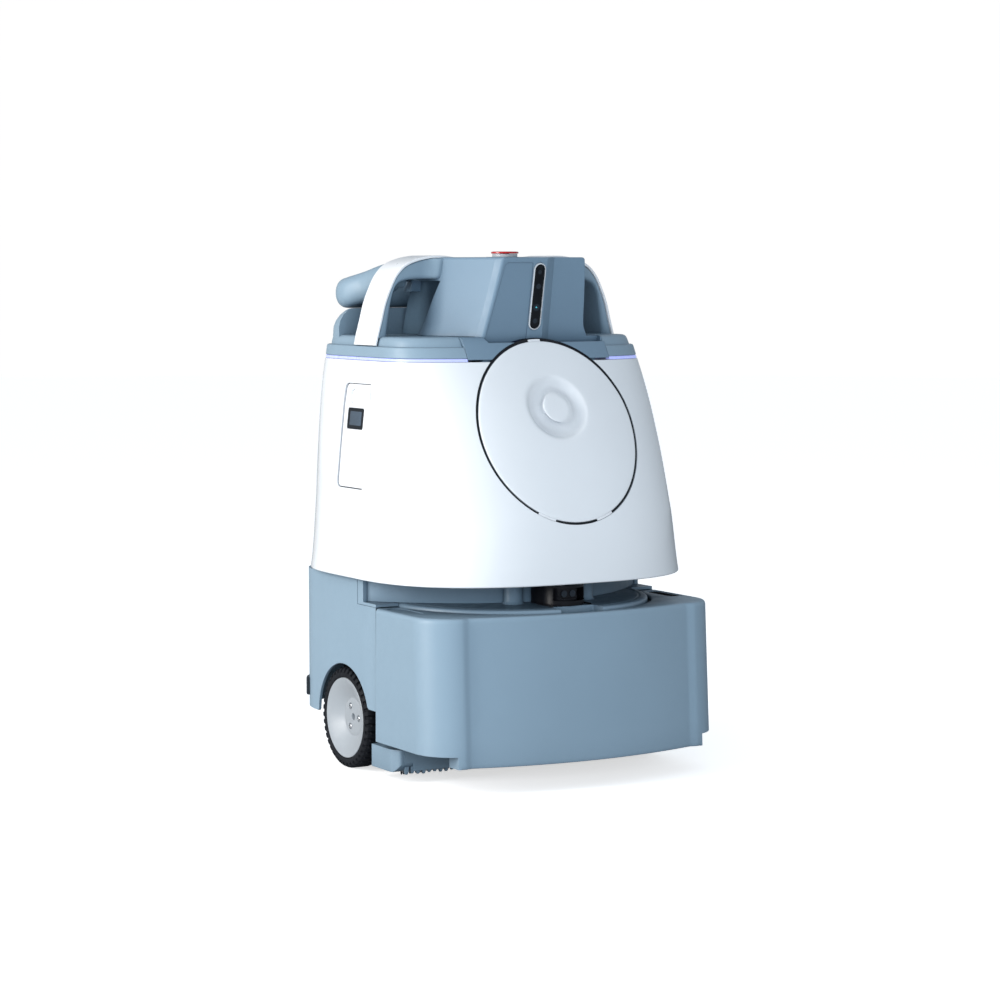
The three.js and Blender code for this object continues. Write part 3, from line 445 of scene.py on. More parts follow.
# painted shadow: near-black blue for the inner walls of the hand rooms under the arches, which lie in shadow
material("blue_painted_shadow", (0.045, 0.078, 0.112), 0.5, spec=0.3, grain=0.35, grain_size=1500, vary=0.03, bevel=1.1)
material("white", (0.79, 0.81, 0.832), 0.20, spec=0.5, coat=0.55, coat_rough=0.06, grain=0.03, grain_size=300, vary=0.012, rough_vary=0.04, bevel=0.8,
         occl=0.8, occl_dist=0.017, occl_tint=(0.23, 0.27, 0.33))
material("white_satin", (0.80, 0.81, 0.83), 0.34, spec=0.5, coat=0.15, grain=0.12, grain_size=900, vary=0.015, bevel=0.8)
material("dark", (0.030, 0.034, 0.040), 0.55, grain=0.5, grain_size=1100, vary=0.12, bevel=0.7, wear=0.1)
material("black", (0.006, 0.006, 0.008), 0.34, spec=0.35, coat=0.0, grain=0.05, vary=0.1, bevel=0.4)
material("motor", (0.32, 0.33, 0.35), 0.45, metal=0.85, grain=0.5, grain_size=500, vary=0.06, bevel=0.6)
material("lightgrey", (0.34, 0.365, 0.39), 0.36, grain=0.3, grain_size=1300, vary=0.02, bevel=0.6, wear=0.1)
material("rubber", (0.008, 0.009, 0.012), 0.72, spec=0.22, grain=0.8, grain_size=700, vary=0.25, rough_vary=0.12, bevel=0.4, wear=0.25)
material("steel", (0.60, 0.61, 0.63), 0.28, metal=1.0, grain=0.25, grain_size=300, brushed=(1, 18, 1), vary=0.03, bevel=0.3)
material("bristle", (0.022, 0.030, 0.042), 0.8, grain=1.0, grain_size=420, brushed=(14, 1, 1), vary=0.3)
material("gloss_black", (0.004, 0.005, 0.007), 0.10, spec=0.28, coat=0.12, coat_rough=0.02, vary=0.1, rough_vary=0.02, bevel=0.3)
material("lens", (0.006, 0.012, 0.020), 0.07, spec=0.6, coat=0.35, coat_rough=0.01, vary=0.1, rough_vary=0.01)
material("lens_glint", (0.10, 0.55, 0.62), 0.08, spec=1.0, coat=1.0, coat_rough=0.01, vary=0.3, rough_vary=0.02)
material("light", (0.42, 0.46, 0.85), 0.3, subsurface=0.2, emit=(0.44, 0.50, 1.0), emit_strength=0.40, vary=0.02)
material("red", (0.52, 0.012, 0.012), 0.25, coat=0.4, grain=0.06, vary=0.05, bevel=0.5)
material("green", (0.03, 0.20, 0.09), 0.4, grain=0.2, vary=0.08, bevel=0.4)
material("fleece", (0.62, 0.60, 0.55), 0.9, spec=0.2, grain=1.0, grain_size=260, vary=0.08, rough_vary=0.05)
material("screen", (0.010, 0.014, 0.022), 0.06, spec=0.6, coat=0.8, coat_rough=0.02, vary=0.1, rough_vary=0.02)
material("silver", (0.80, 0.83, 0.86), 0.30, metal=0.35, grain=0.1, vary=0.03, bevel=0.3)
material("sensor_blue", (0.045, 0.075, 0.115), 0.12, spec=0.8, coat=0.8, coat_rough=0.02, vary=0.5, rough_vary=0.03)

SLOT_MAT = {"blue": "blue", "white": "white", "dark": "dark", "black": "black", "motor": "motor", "lightgrey": "lightgrey", "rubber": "rubber",
            "steel": "steel", "bristle": "bristle", "gloss_black": "gloss_black", "light": "light", "red": "red", "green": "green", "bag": "fleece"}
node_slot = {s["node"]: s["material_slot"] for s in frame["record"]["subparts"]}
node_body = {n: b for b, ns in frame["record"]["behaviour"]["bodies"].items() for n in ns}
for name, o in N.items():
    o.data.materials.clear()
    o.data.materials.append(MATS[SLOT_MAT[node_slot[name]]])


def piece(o, name, nodes, mat=None, slot=None, body=None, angle=32, body_skin=False):
    """Names a finished shape, shades it and lets it ride on the body of the node it stands for."""
    o.name = name
    o.data.name = name
    smooth(o, angle)
    if body_skin:
        body_normals(o)
    nodes = [nodes] if isinstance(nodes, str) else list(nodes)
    s = slot or (node_slot[nodes[0]] if nodes else None)
    o.data.materials.clear()
    o.data.materials.append(MATS[mat or SLOT_MAT[s]])
    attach(o, body or node_body[nodes[0]])
    if nodes:
        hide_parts(*nodes)
    return o


# ================================================================== upper body
FINE = 288


def skin_rings(zs, off, n=FINE):
    return [body_ring(z, off, n=n) for z in zs]


def panel_cut(g, s):
    return prism(round_rect(26 - g, 98 + g, 358 - g, 487 + g, 7 + g, 8), "x", *((-240, -150) if s < 0 else (150, 240)))


def lid_hole(n=192):
    return cyl("y", LID_R + 2.5, -230, 0, 0, LID_Z, n)


zs = list(np.linspace(250, 515.5, 66))
outer = [body_ring(SHELL_Z0, 2.6), body_ring(SHELL_Z0 + 0.25, 1.5), body_ring(SHELL_Z0 + 0.9, 0.55), body_ring(SHELL_Z0 + 1.9, 0.1)] + skin_rings(zs, 0)
outer += [body_ring(SHELL_Z1 - 0.5, 0.05), body_ring(SHELL_Z1 - 0.15, 0.25), body_ring(SHELL_Z1, 0.7)]
inner = [body_ring(SHELL_Z1, 2.9)] + skin_rings(list(np.linspace(515, 250, 34)), 3.2) + [body_ring(SHELL_Z0, 3.1)]
shell = loft("shell", outer + inner, closed=True)
cut(shell, lid_hole(), panel_cut(1.1, -1), panel_cut(1.1, 1))
cut(shell, *[prism(round_rect(-55, 55, 285 + 11 * i, 290 + 11 * i, 2.4, 5), "y", 205, 230) for i in range(6)])
piece(shell, "shell_white", "upper_shell", body_skin=True)

# side service plates: a frame-like plate with a finger scoop at the top and a dark window
for side, s in (("left", -1), ("right", 1)):
    def slab(o0, o1, z0=340, z1=505):
        zz = np.linspace(z0, z1, 18)
        return cut(loft("slab", [body_ring(z, o0, n=200) for z in zz]),
                   loft("in", [body_ring(z0, o1, z0 - 2, n=200)] + [body_ring(z, o1, n=200) for z in zz] + [body_ring(z1, o1, z1 + 2, n=200)]))
    xr = (-240, -150) if s < 0 else (150, 240)
    plate = keep(slab(0.9, 4.6), panel_cut(0, s))
    # the plate proper stands inside a shallow rebate
    rebate = cut(prism(round_rect(20, 104, 350, 495, 10), "x", *xr), prism(round_rect(31, 93, 362, 481, 5), "x", *xr))
    rebate = keep(rebate, loft("r", [body_ring(z, -3, n=200) for z in (340, 420, 505)]))
    rebate = cut(rebate, loft("r2", [body_ring(z, 1.7, n=200) for z in (330, 380, 420, 460, 515)]))
    cut(plate, rebate)
    cut(plate, prism(round_rect(42.6, 86.4, 430.6, 457.4, 2.9, 5), "x", *xr))
    scoop = keep(prism(round_rect(44, 84, 463, 481, 7, 8), "x", *xr), loft("r", [body_ring(z, -3, n=200) for z in (340, 420, 505)]))
    scoop = cut(scoop, loft("r2", [body_ring(z, 3.4, n=200) for z in (330, 380, 420, 460, 515)]))
    cut(plate, scoop)
    piece(plate, f"service_plate_{side}", f"side_panel_{side}", mat="white_satin")
    win = keep(slab(1.2, 5.4), prism(round_rect(43, 86, 431, 457, 2.5, 5), "x", *xr))
    piece(win, f"service_window_{side}", f"side_window_{side}")
    pane = keep(slab(1.05, 1.6), prism(round_rect(49, 80, 435.5, 453, 1.2, 4), "x", *xr))
    piece(pane, f"service_window_{side}_pane", [], mat="sensor_blue", slot="gloss_black", body="root")

# lit line between shell and top cover
ring = loft("ring", [body_ring(517.4, 0.9), body_ring(517.6, 0.5), body_ring(519.1, 0.35), body_ring(520.7, 0.5), body_ring(520.9, 0.9),
                     body_ring(520.9, 9), body_ring(517.4, 9)], closed=True)
cut(ring, box(-103, 103, -120, 0, 500, 540))
piece(ring, "lit_line", "light_ring", body_skin=True)

# ------------------------------------------------------------------ top cover
tw = [pchip(TOWER[:, 0], TOWER[:, k]) for k in range(1, 5)]
left_edge = pchip(LEFT_EDGE[:, 0], LEFT_EDGE[:, 1])


def tower_ring(z, off=0.0, zo=None, rad=1.0):
    xf, yf, xs, yr = (float(f(z)) for f in tw)
    xl = float(left_edge(z)) - off * 0.9
    xf, yf, xs, yr = xf - off * 0.9, yf + off, xs - off, yr - off
    pts = [(xs - 3, yr - 9), (xs - 9, yr), (-xs + 9, yr), (-xs + 3, yr - 9), (-xs, 40), (-xl - 5.5, yf + 9.5), (-xl, yf), (xf, yf), (xf + 8, yf + 10), (xs, 40)]
    rr = [8, 8, 8, 8, 60, 6, 5, 5, 6, 60]
    q = round_poly(pts, [max(r * rad - off * 0.3, 0.6) for r in rr], 8)
    return np.column_stack([q, np.full(len(q), z if zo is None else zo)])


def tower_solid(off=0.0, z0=540.0, z1=TOWER_TOP, round_top=True):
    zz = list(np.linspace(z0, z1 - 4, 26))
    rings = [tower_ring(z, off) for z in zz]
    if round_top:
        rings += [tower_ring(z1 - 3.2, off), tower_ring(z1 - 1.7, off + 0.35), tower_ring(z1 - 0.6, off + 1.1), tower_ring(z1 - 0.1, off + 2.3), tower_ring(z1, off + 3.4)]
    else:
        rings += [tower_ring(z1, off)]
    return loft("tower", rings)


def hand_room(d, top=616.5):
    """Room for the hand under each carrying arch, where the flank steps in behind a slanting edge."""
    a = [(28.5 - d, top + d), (58.2 - d, 536), (175, 536), (175, 602.5 + d), (100 + d, 602.5 + d), (100 + d, top + d)]
    return [prism(a, "x", 78.5 - d, 140), prism(a, "x", -140, -78.5 + d)]


top = loft("top", [body_ring(521.3, 1.1), body_ring(521.5, 0.45), body_ring(522.2, 0.0), body_ring(526, 0), body_ring(531, 0), body_ring(533.6, 0.1),
                   body_ring(534.5, 0.6), body_ring(534.9, 1.6), body_ring(535.0, 4.7), body_ring(535.4, 4.7), body_ring(540, 4.9), body_ring(543.2, 5.3), body_ring(545, 6.0),
                   body_ring(546.3, 7.2), body_ring(547.0, 8.9), body_ring(DECK_Z, 11)])
cut(top, loft("in", [body_ring(519, 4), body_ring(533, 4), body_ring(535, 8.4), body_ring(543.4, 9.2)]))
c545 = lambda z, g: body_ring(545, g, z)
slant = lambda y: prism([(y, 530), (REAR_Y + 20, 530), (REAR_Y + 20, 590), (y + 10, 590)], "x", -230, 230)
sh = keep(loft("sh", [c545(541, 5.0), c545(557, 5.9), c545(565, 8.4), c545(572.5, 13), c545(577.9, 18.5), c545(580.2, 22.5), c545(580.8, 26)]), slant(150))
join(top, sh)
cut(top, keep(loft("sh2", [c545(539, 9.3), c545(556, 10), c545(569, 17), c545(575, 26)]), slant(154.5)))
cut(top, box(-102.8, 102.8, -130, -30, 510, 560), cut(tower_solid(-0.35, round_top=False), *hand_room(-0.35)))
piece(top, "top_deck", "top_cover", body_skin=True)

# ------------------------------------------------------------------ sensor tower with the apron round the lid
def frame_at(origin, ux, uy, uz):
    m = Matrix((ux, uy, uz)).transposed().to_4x4()
    m.translation = Vector(((origin[0]) / 1000, (origin[1] + DY) / 1000, origin[2] / 1000))
    return m


def placed(o, m):
    """A shape drawn about the drawing frame's origin, moved to a local frame."""
    o.data.transform(m @ Matrix.Translation((0, -DY / 1000, 0)))
    o.data.update()
    return o


nrm_f = Vector((0, -68.5 + 51, 92)).normalized()
FRONT = frame_at((0, -59.75, 594), Vector((1, 0, 0)), nrm_f, Vector((1, 0, 0)).cross(nrm_f).normalized())
tower = tower_solid()
cut(tower, cut(tower_solid(3.4, 536, TOWER_TOP - 3.6, False), *hand_room(3.6), placed(box(-120, 120, -80, 80, -13.0, 30), FRONT)), *hand_room(0))
keep(tower, join(box(-200, 200, -41, 220, DECK_Z + 0.35, 660), box(-102.4, 102.4, -120, -40, 530, 660)))
apron = loft("apron", [body_ring(519.6, 0.8), body_ring(520, 0.2), body_ring(521, 0)] + [body_ring(z, 0) for z in (526, 531, 536, 539)] + [body_ring(541.5, 0.3), body_ring(543.6, 1.0), body_ring(545.4, 2.3), body_ring(546.6, 4.2), body_ring(547.1, 7)])
cut(apron, loft("in", [body_ring(519.5, 3.6, 512)] + [body_ring(z, 3.6) for z in (519.5, 527, 532, 536)]))
keep(apron, box(-102.4, 102.4, -120, -36, 510, 552))
cut(apron, tower_solid(18, 536, 560, False), box(-60, 60, -31, 40, 500, 560), prism(round_rect(-72.5, 120, 540.2, 575, 7), "y", -140, -49.0))
join(tower, apron)
cut(tower, lid_hole(), cyl("z", 21, 640, 660, 0, 20, 64))
join(tower, cut(cyl("z", 24, 636, 646.5, 0, 20, 64), cyl("z", 21, 638.5, 660, 0, 20, 64), cyl("z", 9.6, 630, 642, 0, 20, 48)))


cam_top, cam_bot = Vector((0, -68.9, 638)), Vector((0, -52.8, 556))
dn = (cam_bot - cam_top).normalized()
cn = Vector((0, -1, 0)) + dn * dn.y
cn.normalize()
CAM = frame_at((cam_top + cam_bot) / 2, dn.cross(cn), dn, cn)
cam_len = (cam_bot - cam_top).length


def bar(w, z0, z1, dome=0.0, n=24, c=0.0):
    h = cam_len / 2 - 8
    out = lambda r: [(r * math.cos(-math.pi * i / n), -h + r * math.sin(-math.pi * i / n)) for i in range(n + 1)] + \
                    [(r * math.cos(math.pi - math.pi * i / n), h + r * math.sin(math.pi - math.pi * i / n)) for i in range(n + 1)]
    lev = [(w, z0), (w, z1 - c), (w - 0.3 * c, z1 - 0.3 * c), (w - c, z1)] if c else [(w, z0), (w, z1)]
    o = loft("bar", [[(x, y, z) for x, y in out(r)] for r, z in lev])
    return placed(o, CAM)


cut(tower, bar(9.0, -12, 12))
BACK_UP = Vector((0, -34, 80)).normalized()
BACK_N = Vector((1, 0, 0)).cross(BACK_UP).normalized()
if BACK_N.y < 0:
    BACK_N.negate()
BACK = frame_at((0, 126.6, 605.5), Vector((-1, 0, 0)), BACK_UP, BACK_N)
cut(tower, placed(prism(round_rect(-52, 52, -27, 33, 5), "z", -9, 12), BACK), placed(cyl("z", 8.2, -9, 12, 66, -10), BACK), placed(cyl("z", 5.4, -9, 12, -66, -10), BACK))
cut(tower, cyl("x", 4.35, -120, 120, 109, 619, 48))
# right part of the front lies lower, behind a slope beside the camera strip
slope = loft("slope", [[(x0, v, 0.02), (x1, v, -9.0), (100, v, -9.0), (100, v, 14), (x0, v, 14)] for v, x0, x1 in ((-64, 12.5, 27), (0, 11, 26), (60, 9.5, 25))])
above = lambda o: keep(o, box(-250, 250, -250, 250, 540.2, 720))
cut(tower, above(placed(slope, FRONT)))
# shallow panel left of the camera strip
cut(tower, above(placed(prism(round_poly([(-9.8, 46.2), (-49.8, 46.2), (-71.5, -62), (-9.8, -62)], [3, 7, 1, 1]), "z", -0.9, 14), FRONT)))
# the tower takes the darker blue copy, which paints in the shade on its front
piece(tower, "sensor_tower", "tower_cover", mat="blue_tower_painted_shade", angle=28)
# painted shadow: faces of the inner hand-room walls take the near-black blue
tower.data.materials.append(MATS["blue_painted_shadow"])
for f in tower.data.polygons:
    c = f.center * 1000
    if 77 < abs(c.x) < 79.2 and abs(f.normal.x) > 0.9 and c.z > 540 and c.y - DY > 25:
        f.material_index = 1

piece(cut(bar(8.65, -3.4, 0.9, c=0.8), bar(7.3, -1.6, 4)), "camera_rim", "camera_bezel", mat="silver")
piece(bar(6.95, -1.25, 0.45, c=0.6), "camera_window", "camera_glass")
for i, (d, r, mat, bulge) in enumerate([(-0.37, 2.6, "lens", 0.35), (-0.155, 3.4, "lens", 0.5), (0.165, 4.6, "lens", 0.7), (0.37, 3.2, "lens", 0.5)]):
    v = d * cam_len
    prof = [(0, 0.3), (r, 0.3), (r, 0.55), (r * 0.92, 0.62), (r * 0.8, 0.5), (r * 0.72, 0.5), (r * 0.5, 0.5 + bulge * 0.5), (r * 0.25, 0.5 + bulge * 0.85), (0, 0.5 + bulge)]
    piece(placed(rev(prof, "z", 0, v, 48), CAM), f"camera_lens_{i + 1}", [], mat=mat, slot="gloss_black", body="root", angle=25)
    if r > 3:
        piece(placed(rev([(0, 0.95), (r * 0.26, 0.95), (r * 0.2, 1.12), (0, 1.18)], "z", 0.4, v - 0.3, 32), CAM), f"camera_iris_{i + 1}", [],
              mat="lens_glint" if i == 2 else "lens", slot="gloss_black", body="root")

piece(cut(placed(loft("b", [[(x, y, z) for x, y in round_rect(-51.6 + c, 51.6 - c, -26.6 + c, 32.6 - c, 5 - c * 0.5)] for z, c in ((-4, 0), (0, 0), (0.6, 0.3), (0.8, 1.0))]), BACK),
          placed(prism(round_rect(-45.4, 45.4, -20.4, 26.4, 3), "z", -1.8, 4), BACK)), "display_rim", "screen_bezel")
piece(placed(prism(round_rect(-45, 45, -20, 26, 3), "z", -1.4, 0.2), BACK), "display_glass", "screen_glass", mat="screen")
piece(placed(rev([(0, -4), (7.8, -4), (7.8, 2.2), (7.3, 3.0), (6.3, 3.2), (5.4, 2.8), (0, 2.5)], "z", 66, -10, 64), BACK), "start_push", "start_button")
piece(cut(placed(rev([(0, -10), (5, -10), (5, 0.8), (4.6, 1.3), (3.9, 1.4), (0, 1.4)], "z", -66, -10, 48), BACK), placed(box(-67, -65, -13.2, -6.8, -2, 4), BACK)), "key_barrel", "key_switch")

piece(rev([(0, 628), (6, 628), (6, 650.8), (17.0, 650.8), (17.5, 651.2), (17.5, 652.1), (17.2, 652.8), (16.4, 653.2), (14.5, 653.4), (0, 653.4)], "z", 0, 20, 96), "stop_cap", "estop_button")
piece(rev([(15.6, 650.45), (16.1, 649.8), (15.9, 645.2), (6.4, 645.2), (6.4, 650.45)], "z", 0, 20, 96), "stop_collar", "estop_collar")

# ------------------------------------------------------------------ carrying arches and straps
A_OUT = [(177.9, 536.2), (175.2, 548), (169.8, 568), (164.6, 588), (157.5, 606), (148, 624), (136, 636.2), (120, 643.4), (100, 647.6), (84, 648.3), (70, 647.0), (60, 645.6)]
A_IN = [(158.6, 544.0), (158.6, 547.9), (157, 562), (154, 582), (150.4, 600), (145, 610.5), (136, 616), (118, 618.6), (104, 618.9), (70, 619.0)]


def sweep(name, out, inn, y0, y1, r_out, r_in, n=6, flare=0.0):
    """Strap-like solid between two outlines in X and Z, with rounded edges."""
    rings = []
    front = y0
    for (xo, zo), (xi, zi) in zip(out, inn):
        y0 = front - flare * min(max(0.0, (112 - abs(xo)) / 24), 1.0) ** 2
        h = math.hypot(xo - xi, zo - zi)
        ux, uz = (xo - xi) / h, (zo - zi) / h
        ring = []
        for cu, cy, a, r in [(h - r_out, y0 + r_out, -90, r_out), (h - r_out, y1 - r_out, 0, r_out), (r_in, y1 - r_in, 90, r_in), (r_in, y0 + r_in, 180, r_in)]:
            for i in range(n + 1):
                t = math.radians(a + 90 * i / n)
                # u runs from inner to outer outline, y along the strap's width
                u, y = cu + r * math.cos(t), cy + r * math.sin(t)
                ring.append((xi + ux * u, y, zi + uz * u))
        rings.append(ring)
    return loft(name, rings)


NS = 56
o2 = spline(A_OUT, NS)
tan = np.gradient(o2, axis=0)
tan /= np.linalg.norm(tan, axis=1)[:, None]
nin = np.stack([-tan[:, 1], tan[:, 0]], 1)
if (nin[5] @ np.array([-1, 0])) < 0:
    nin = -nin
strap_in, arch_out = o2 + nin * 3.2, o2 + nin * 3.55
arch_out_k = spline([(p[0], p[1]) for p in arch_out if p[1] > 544], NS)
arch_in_k = spline(A_IN, NS)
for side, s in (("left", -1), ("right", 1)):
    mir = lambda a: [(s * x, z) for x, z in a]
    piece(sweep("arch", mir(arch_out_k), mir(arch_in_k), 38, 94, 2.0, 6.0, flare=9.0), f"arch_{side}", f"handle_arch_{side}")
    piece(sweep("strap", mir(o2), mir(strap_in), 36.8, 95.2, 1.5, 0.5), f"strap_{side}", f"arch_strap_{side}", mat="white_satin")

# ------------------------------------------------------------------ push handle
half = [(112, 108, 619), (114, 124, 618.5), (124, 158, 609), (136, 182, 602), (134, 196, 600), (110, 200, 600), (55, 200, 600), (0, 200, 600)]
path = spline(half + [(-x, y, z) for x, y, z in half[-2::-1]], 150)
tg = np.gradient(path, axis=0)
tg /= np.linalg.norm(tg, axis=1)[:, None]
rings = []
for i, (p, t) in enumerate(zip(path, tg)):
    side_v = np.cross(t, [0, 0, 1.0])
    side_v /= np.linalg.norm(side_v)
    up_v = np.cross(side_v, t)
    k = min(1.0, math.sqrt(max(0.0, 1 - max(0, 1 - min(i, len(path) - 1 - i) / 5.0) ** 2)) * 0.6 + 0.4)
    a, b = 15.5 * k, 19.3 * k
    rings.append([tuple(p + side_v * a * np.sign(math.cos(u)) * abs(math.cos(u)) ** 0.9 + up_v * b * np.sign(math.sin(u)) * abs(math.sin(u)) ** 0.9)
                  for u in np.linspace(0, 2 * math.pi, 36, endpoint=False)])
hand = loft("hand", rings)
for s in (-1, 1):
    join(hand, cyl("x", 12.5, *((100, 122) if s > 0 else (-122, -100)), 109, 619, 64, c=1.5))
cut(hand, box(-140, 140, 60, 96.2, 560, 660), cyl("x", 4.4, -117, 117, 109, 619, 48))
piece(hand, "push_bar", "push_handle")

# ================================================================== round lid with its finger recess
def surf(x, z):
    a, f = half_w(z), YC - front_y0(z)
    return YC - f * (1 - (np.abs(x) / a) ** 2.7) ** (1 / 2.7)


def surf_n(x, z):
    e = 0.05
    gx = (surf(x + e, z) - surf(x - e, z)) / (2 * e)
    gz = (surf(x, z + e) - surf(x, z - e)) / (2 * e)
    n = np.stack([gx, -np.ones_like(gx), gz], -1)
    return n / np.linalg.norm(n, axis=-1, keepdims=True)


GRIP_C, TILT = (0.0, 461.0), 0.907
NT = 192
th = np.linspace(0, 2 * math.pi, NT, endpoint=False)
# how steep the centre disc's edge is round the recess: sharp on the lower left, melting away on the upper right
ang = (np.degrees(th) - 205 + 180) % 360 - 180
steep = np.clip(1 - (np.abs(ang) - 55) / 75, 0, 1)
steep = steep * steep * (3 - 2 * steep)
under = np.clip(1 - np.abs((np.degrees(th) - 232 + 180) % 360 - 180) / 46, 0, 1) ** 0.8


def grip_ring(rho, depth):
    x = GRIP_C[0] + rho * np.cos(th)
    z = GRIP_C[1] + rho * np.sin(th) * TILT
    return x, z, depth


rings3 = []
A_ = lambda v: np.full(NT, float(v))
mix = lambda a, b, w: a * (1 - w) + b * w
prof_soft = [(15.0, 0.25), (17.0, 0.6), (19.5, 1.4), (22.0, 2.8), (24.5, 4.6), (27.0, 6.2), (29.5, 7.2), (31.5, 7.6), (33.5, 7.2)]
prof_hard = [(17.6, 0.2), (18.4, 0.5), (19.0, 1.3), (19.2, 2.6), (19.3, 5.4), (20.0, 7.4), (22.0, 8.6), (26.0, 8.8), (30.5, 7.8)]
for rho, d in [(5, 0.25), (10, 0.25), (14, 0.22)]:
    rings3.append(grip_ring(A_(rho), A_(d)))
for i, ((rs, ds), (rh, dh)) in enumerate(zip(prof_soft, prof_hard)):
    r = mix(rs, rh, steep)
    if i in (3, 4, 5):
        r = r - under * {3: 1.6, 4: 3.6, 5: 2.6}[i]
    rings3.append(grip_ring(r, mix(ds, dh, steep)))
for rho, d in [(36.0, 5.4), (38.0, 3.8), (39.8, 2.2), (41.2, 1.1), (42.6, 0.4), (44.2, 0.08)]:
    rings3.append(grip_ring(A_(rho), A_(d)))
g0x, g0z = GRIP_C[0] + 44.2 * np.cos(th), GRIP_C[1] + 44.2 * np.sin(th) * TILT
# angles of the outer rim are taken about the lid's own centre
ox, oz = LID_R * np.cos(th), LID_Z + LID_R * np.sin(th)
for w in np.linspace(0.04, 1, 26)[:-1] ** 1.0:
    k = (LID_R - 2.0) / LID_R
    rings3.append((mix(g0x, ox * k, w), mix(g0z, LID_Z + (oz - LID_Z) * k, w), A_(0)))
for r, d in [(LID_R - 2.0, 0.0), (LID_R - 1.4, 0.16), (LID_R - 0.85, 0.5), (LID_R - 0.55, 1.1), (LID_R - 0.5, 1.9), (LID_R - 0.5, 3.4), (LID_R - 1.1, 3.6)]:
    rings3.append((r * np.cos(th), LID_Z + r * np.sin(th), A_(d)))
nfront = len(rings3)
back = []
for r in (LID_R - 8, LID_R - 20):
    back.append((mix(g0x, ox, (r - 40) / (LID_R - 40)), mix(g0z, oz, (r - 40) / (LID_R - 40)), A_(3.6)))
back += [(mix(g0x, ox, 0.35), mix(g0z, oz, 0.35), A_(3.6)), (g0x, g0z, A_(4.2)), grip_ring(A_(40), A_(8.8)), grip_ring(A_(34), A_(11.0)), grip_ring(A_(20), A_(11.2)), grip_ring(A_(6), A_(11.2))]
pts = []
for x, z, d in rings3 + back:
    y = surf(x, z)
    n = surf_n(x, z)
    pts.append(np.stack([x, y, z], 1) - n * np.asarray(d)[:, None])
V = np.concatenate(pts)
c0 = np.array([[0, float(surf(np.array(0.0), np.array(461.0))) + 0.25, 461.0]])
c1 = np.array([[0, float(surf(np.array(0.0), np.array(461.0))) + 11.2, 461.0 - 5]])
V = np.concatenate([V, c0, c1])
F = []
for j in range(len(pts) - 1):
    a, b = j * NT, (j + 1) * NT
    F += [[a + i, a + (i + 1) % NT, b + (i + 1) % NT, b + i] for i in range(NT)]
last = (len(pts) - 1) * NT
F += [[len(V) - 2, (i + 1) % NT, i] for i in range(NT)]
F += [[len(V) - 1, last + i, last + (i + 1) % NT] for i in range(NT)]
lid = put("lid", V, F)
piece(lid, "lid_panel", ["lid_cover", "lid_grip"], angle=60)
# dark rubber ring set inside the gap round the lid: painted shade that makes the gap read dark
tt = np.linspace(0, 2 * math.pi, 240, endpoint=False)
rs = []
for r, d in [(LID_R + 0.1, 1.7), (LID_R + 3.4, 1.7), (LID_R + 3.4, 3.0), (LID_R + 0.1, 3.0)]:
    x, z = r * np.cos(tt), LID_Z + r * np.sin(tt)
    rs.append(np.stack([x, surf(x, z), z], 1) - surf_n(x, z) * d)
piece(loft("seal", [[tuple(q[i]) for q in rs] for i in range(240)], closed=True), "lid_gap_painted_shade", [], mat="rubber", slot="black", body="root")
# small tongues that bridge the gap round the lid
for i, (a0, a1) in enumerate([(87.8, 96.6), (-119.5, -107.0), (-76.2, -63.5)]):
    tt = np.radians(np.linspace(a0, a1, 14))
    rs = []
    for t in tt:
        q = []
        for r, d in [(LID_R - 0.9, 0.7), (LID_R + 2.0, 0.7), (LID_R + 2.0, 1.6), (LID_R - 0.9, 1.6)]:
            x, z = np.array([r * math.cos(t)]), np.array([LID_Z + r * math.sin(t)])
            q.append(tuple((np.stack([x, surf(x, z), z], 1) - surf_n(x, z) * d)[0]))
        rs.append(q)
    piece(loft("tongue", rs), f"lid_tongue_{i + 1}", [], mat="white_satin", slot="white", body="lid")

# ================================================================== base
SEAM_Y, BUMPER_Y, BUMPER_X, BUMPER_Z, WY, WZ, ARCH_R = -13.5, -20.0, 208.0, 213.7, 76.0, 64.0, 69.5


def bumper_plan(z, off, n=260):
    shift = 10 * (BUMPER_Z - z) / 180.7
    X = BUMPER_X - off - 0.006 * (z - 60)
    r = 52 - off
    yf = lambda x: -187 - shift + off + 34 * (x / 190) ** 2
    xc = X - r
    yc = yf(xc) + r * 0.86 + 4
    right = [(X, BUMPER_Y), (X, (BUMPER_Y + yc) / 2)]
    right += [(xc + r * math.cos(t), yc + r * math.sin(t)) for t in np.radians(np.linspace(0, -78, 15))]
    xe = right[-1][0]
    right += [(x, yf(x)) for x in np.linspace(xe - 9, 3, 30)]
    pts = np.array(right + [(-x, y) for x, y in right[::-1]])
    # even spacing along the open outline, so that every level has its points in the same places
    s = np.concatenate([[0], np.cumsum(np.linalg.norm(np.diff(pts, axis=0), axis=1))])
    t = np.linspace(0, s[-1], n)
    return np.stack([np.interp(t, s, pts[:, k]) for k in (0, 1)], 1)


def bumper_ring(z, off, zo=None, back=0.0):
    p = bumper_plan(z, off)
    p[0, 1] += back
    p[-1, 1] += back
    return np.column_stack([p, np.full(len(p), z if zo is None else zo)])


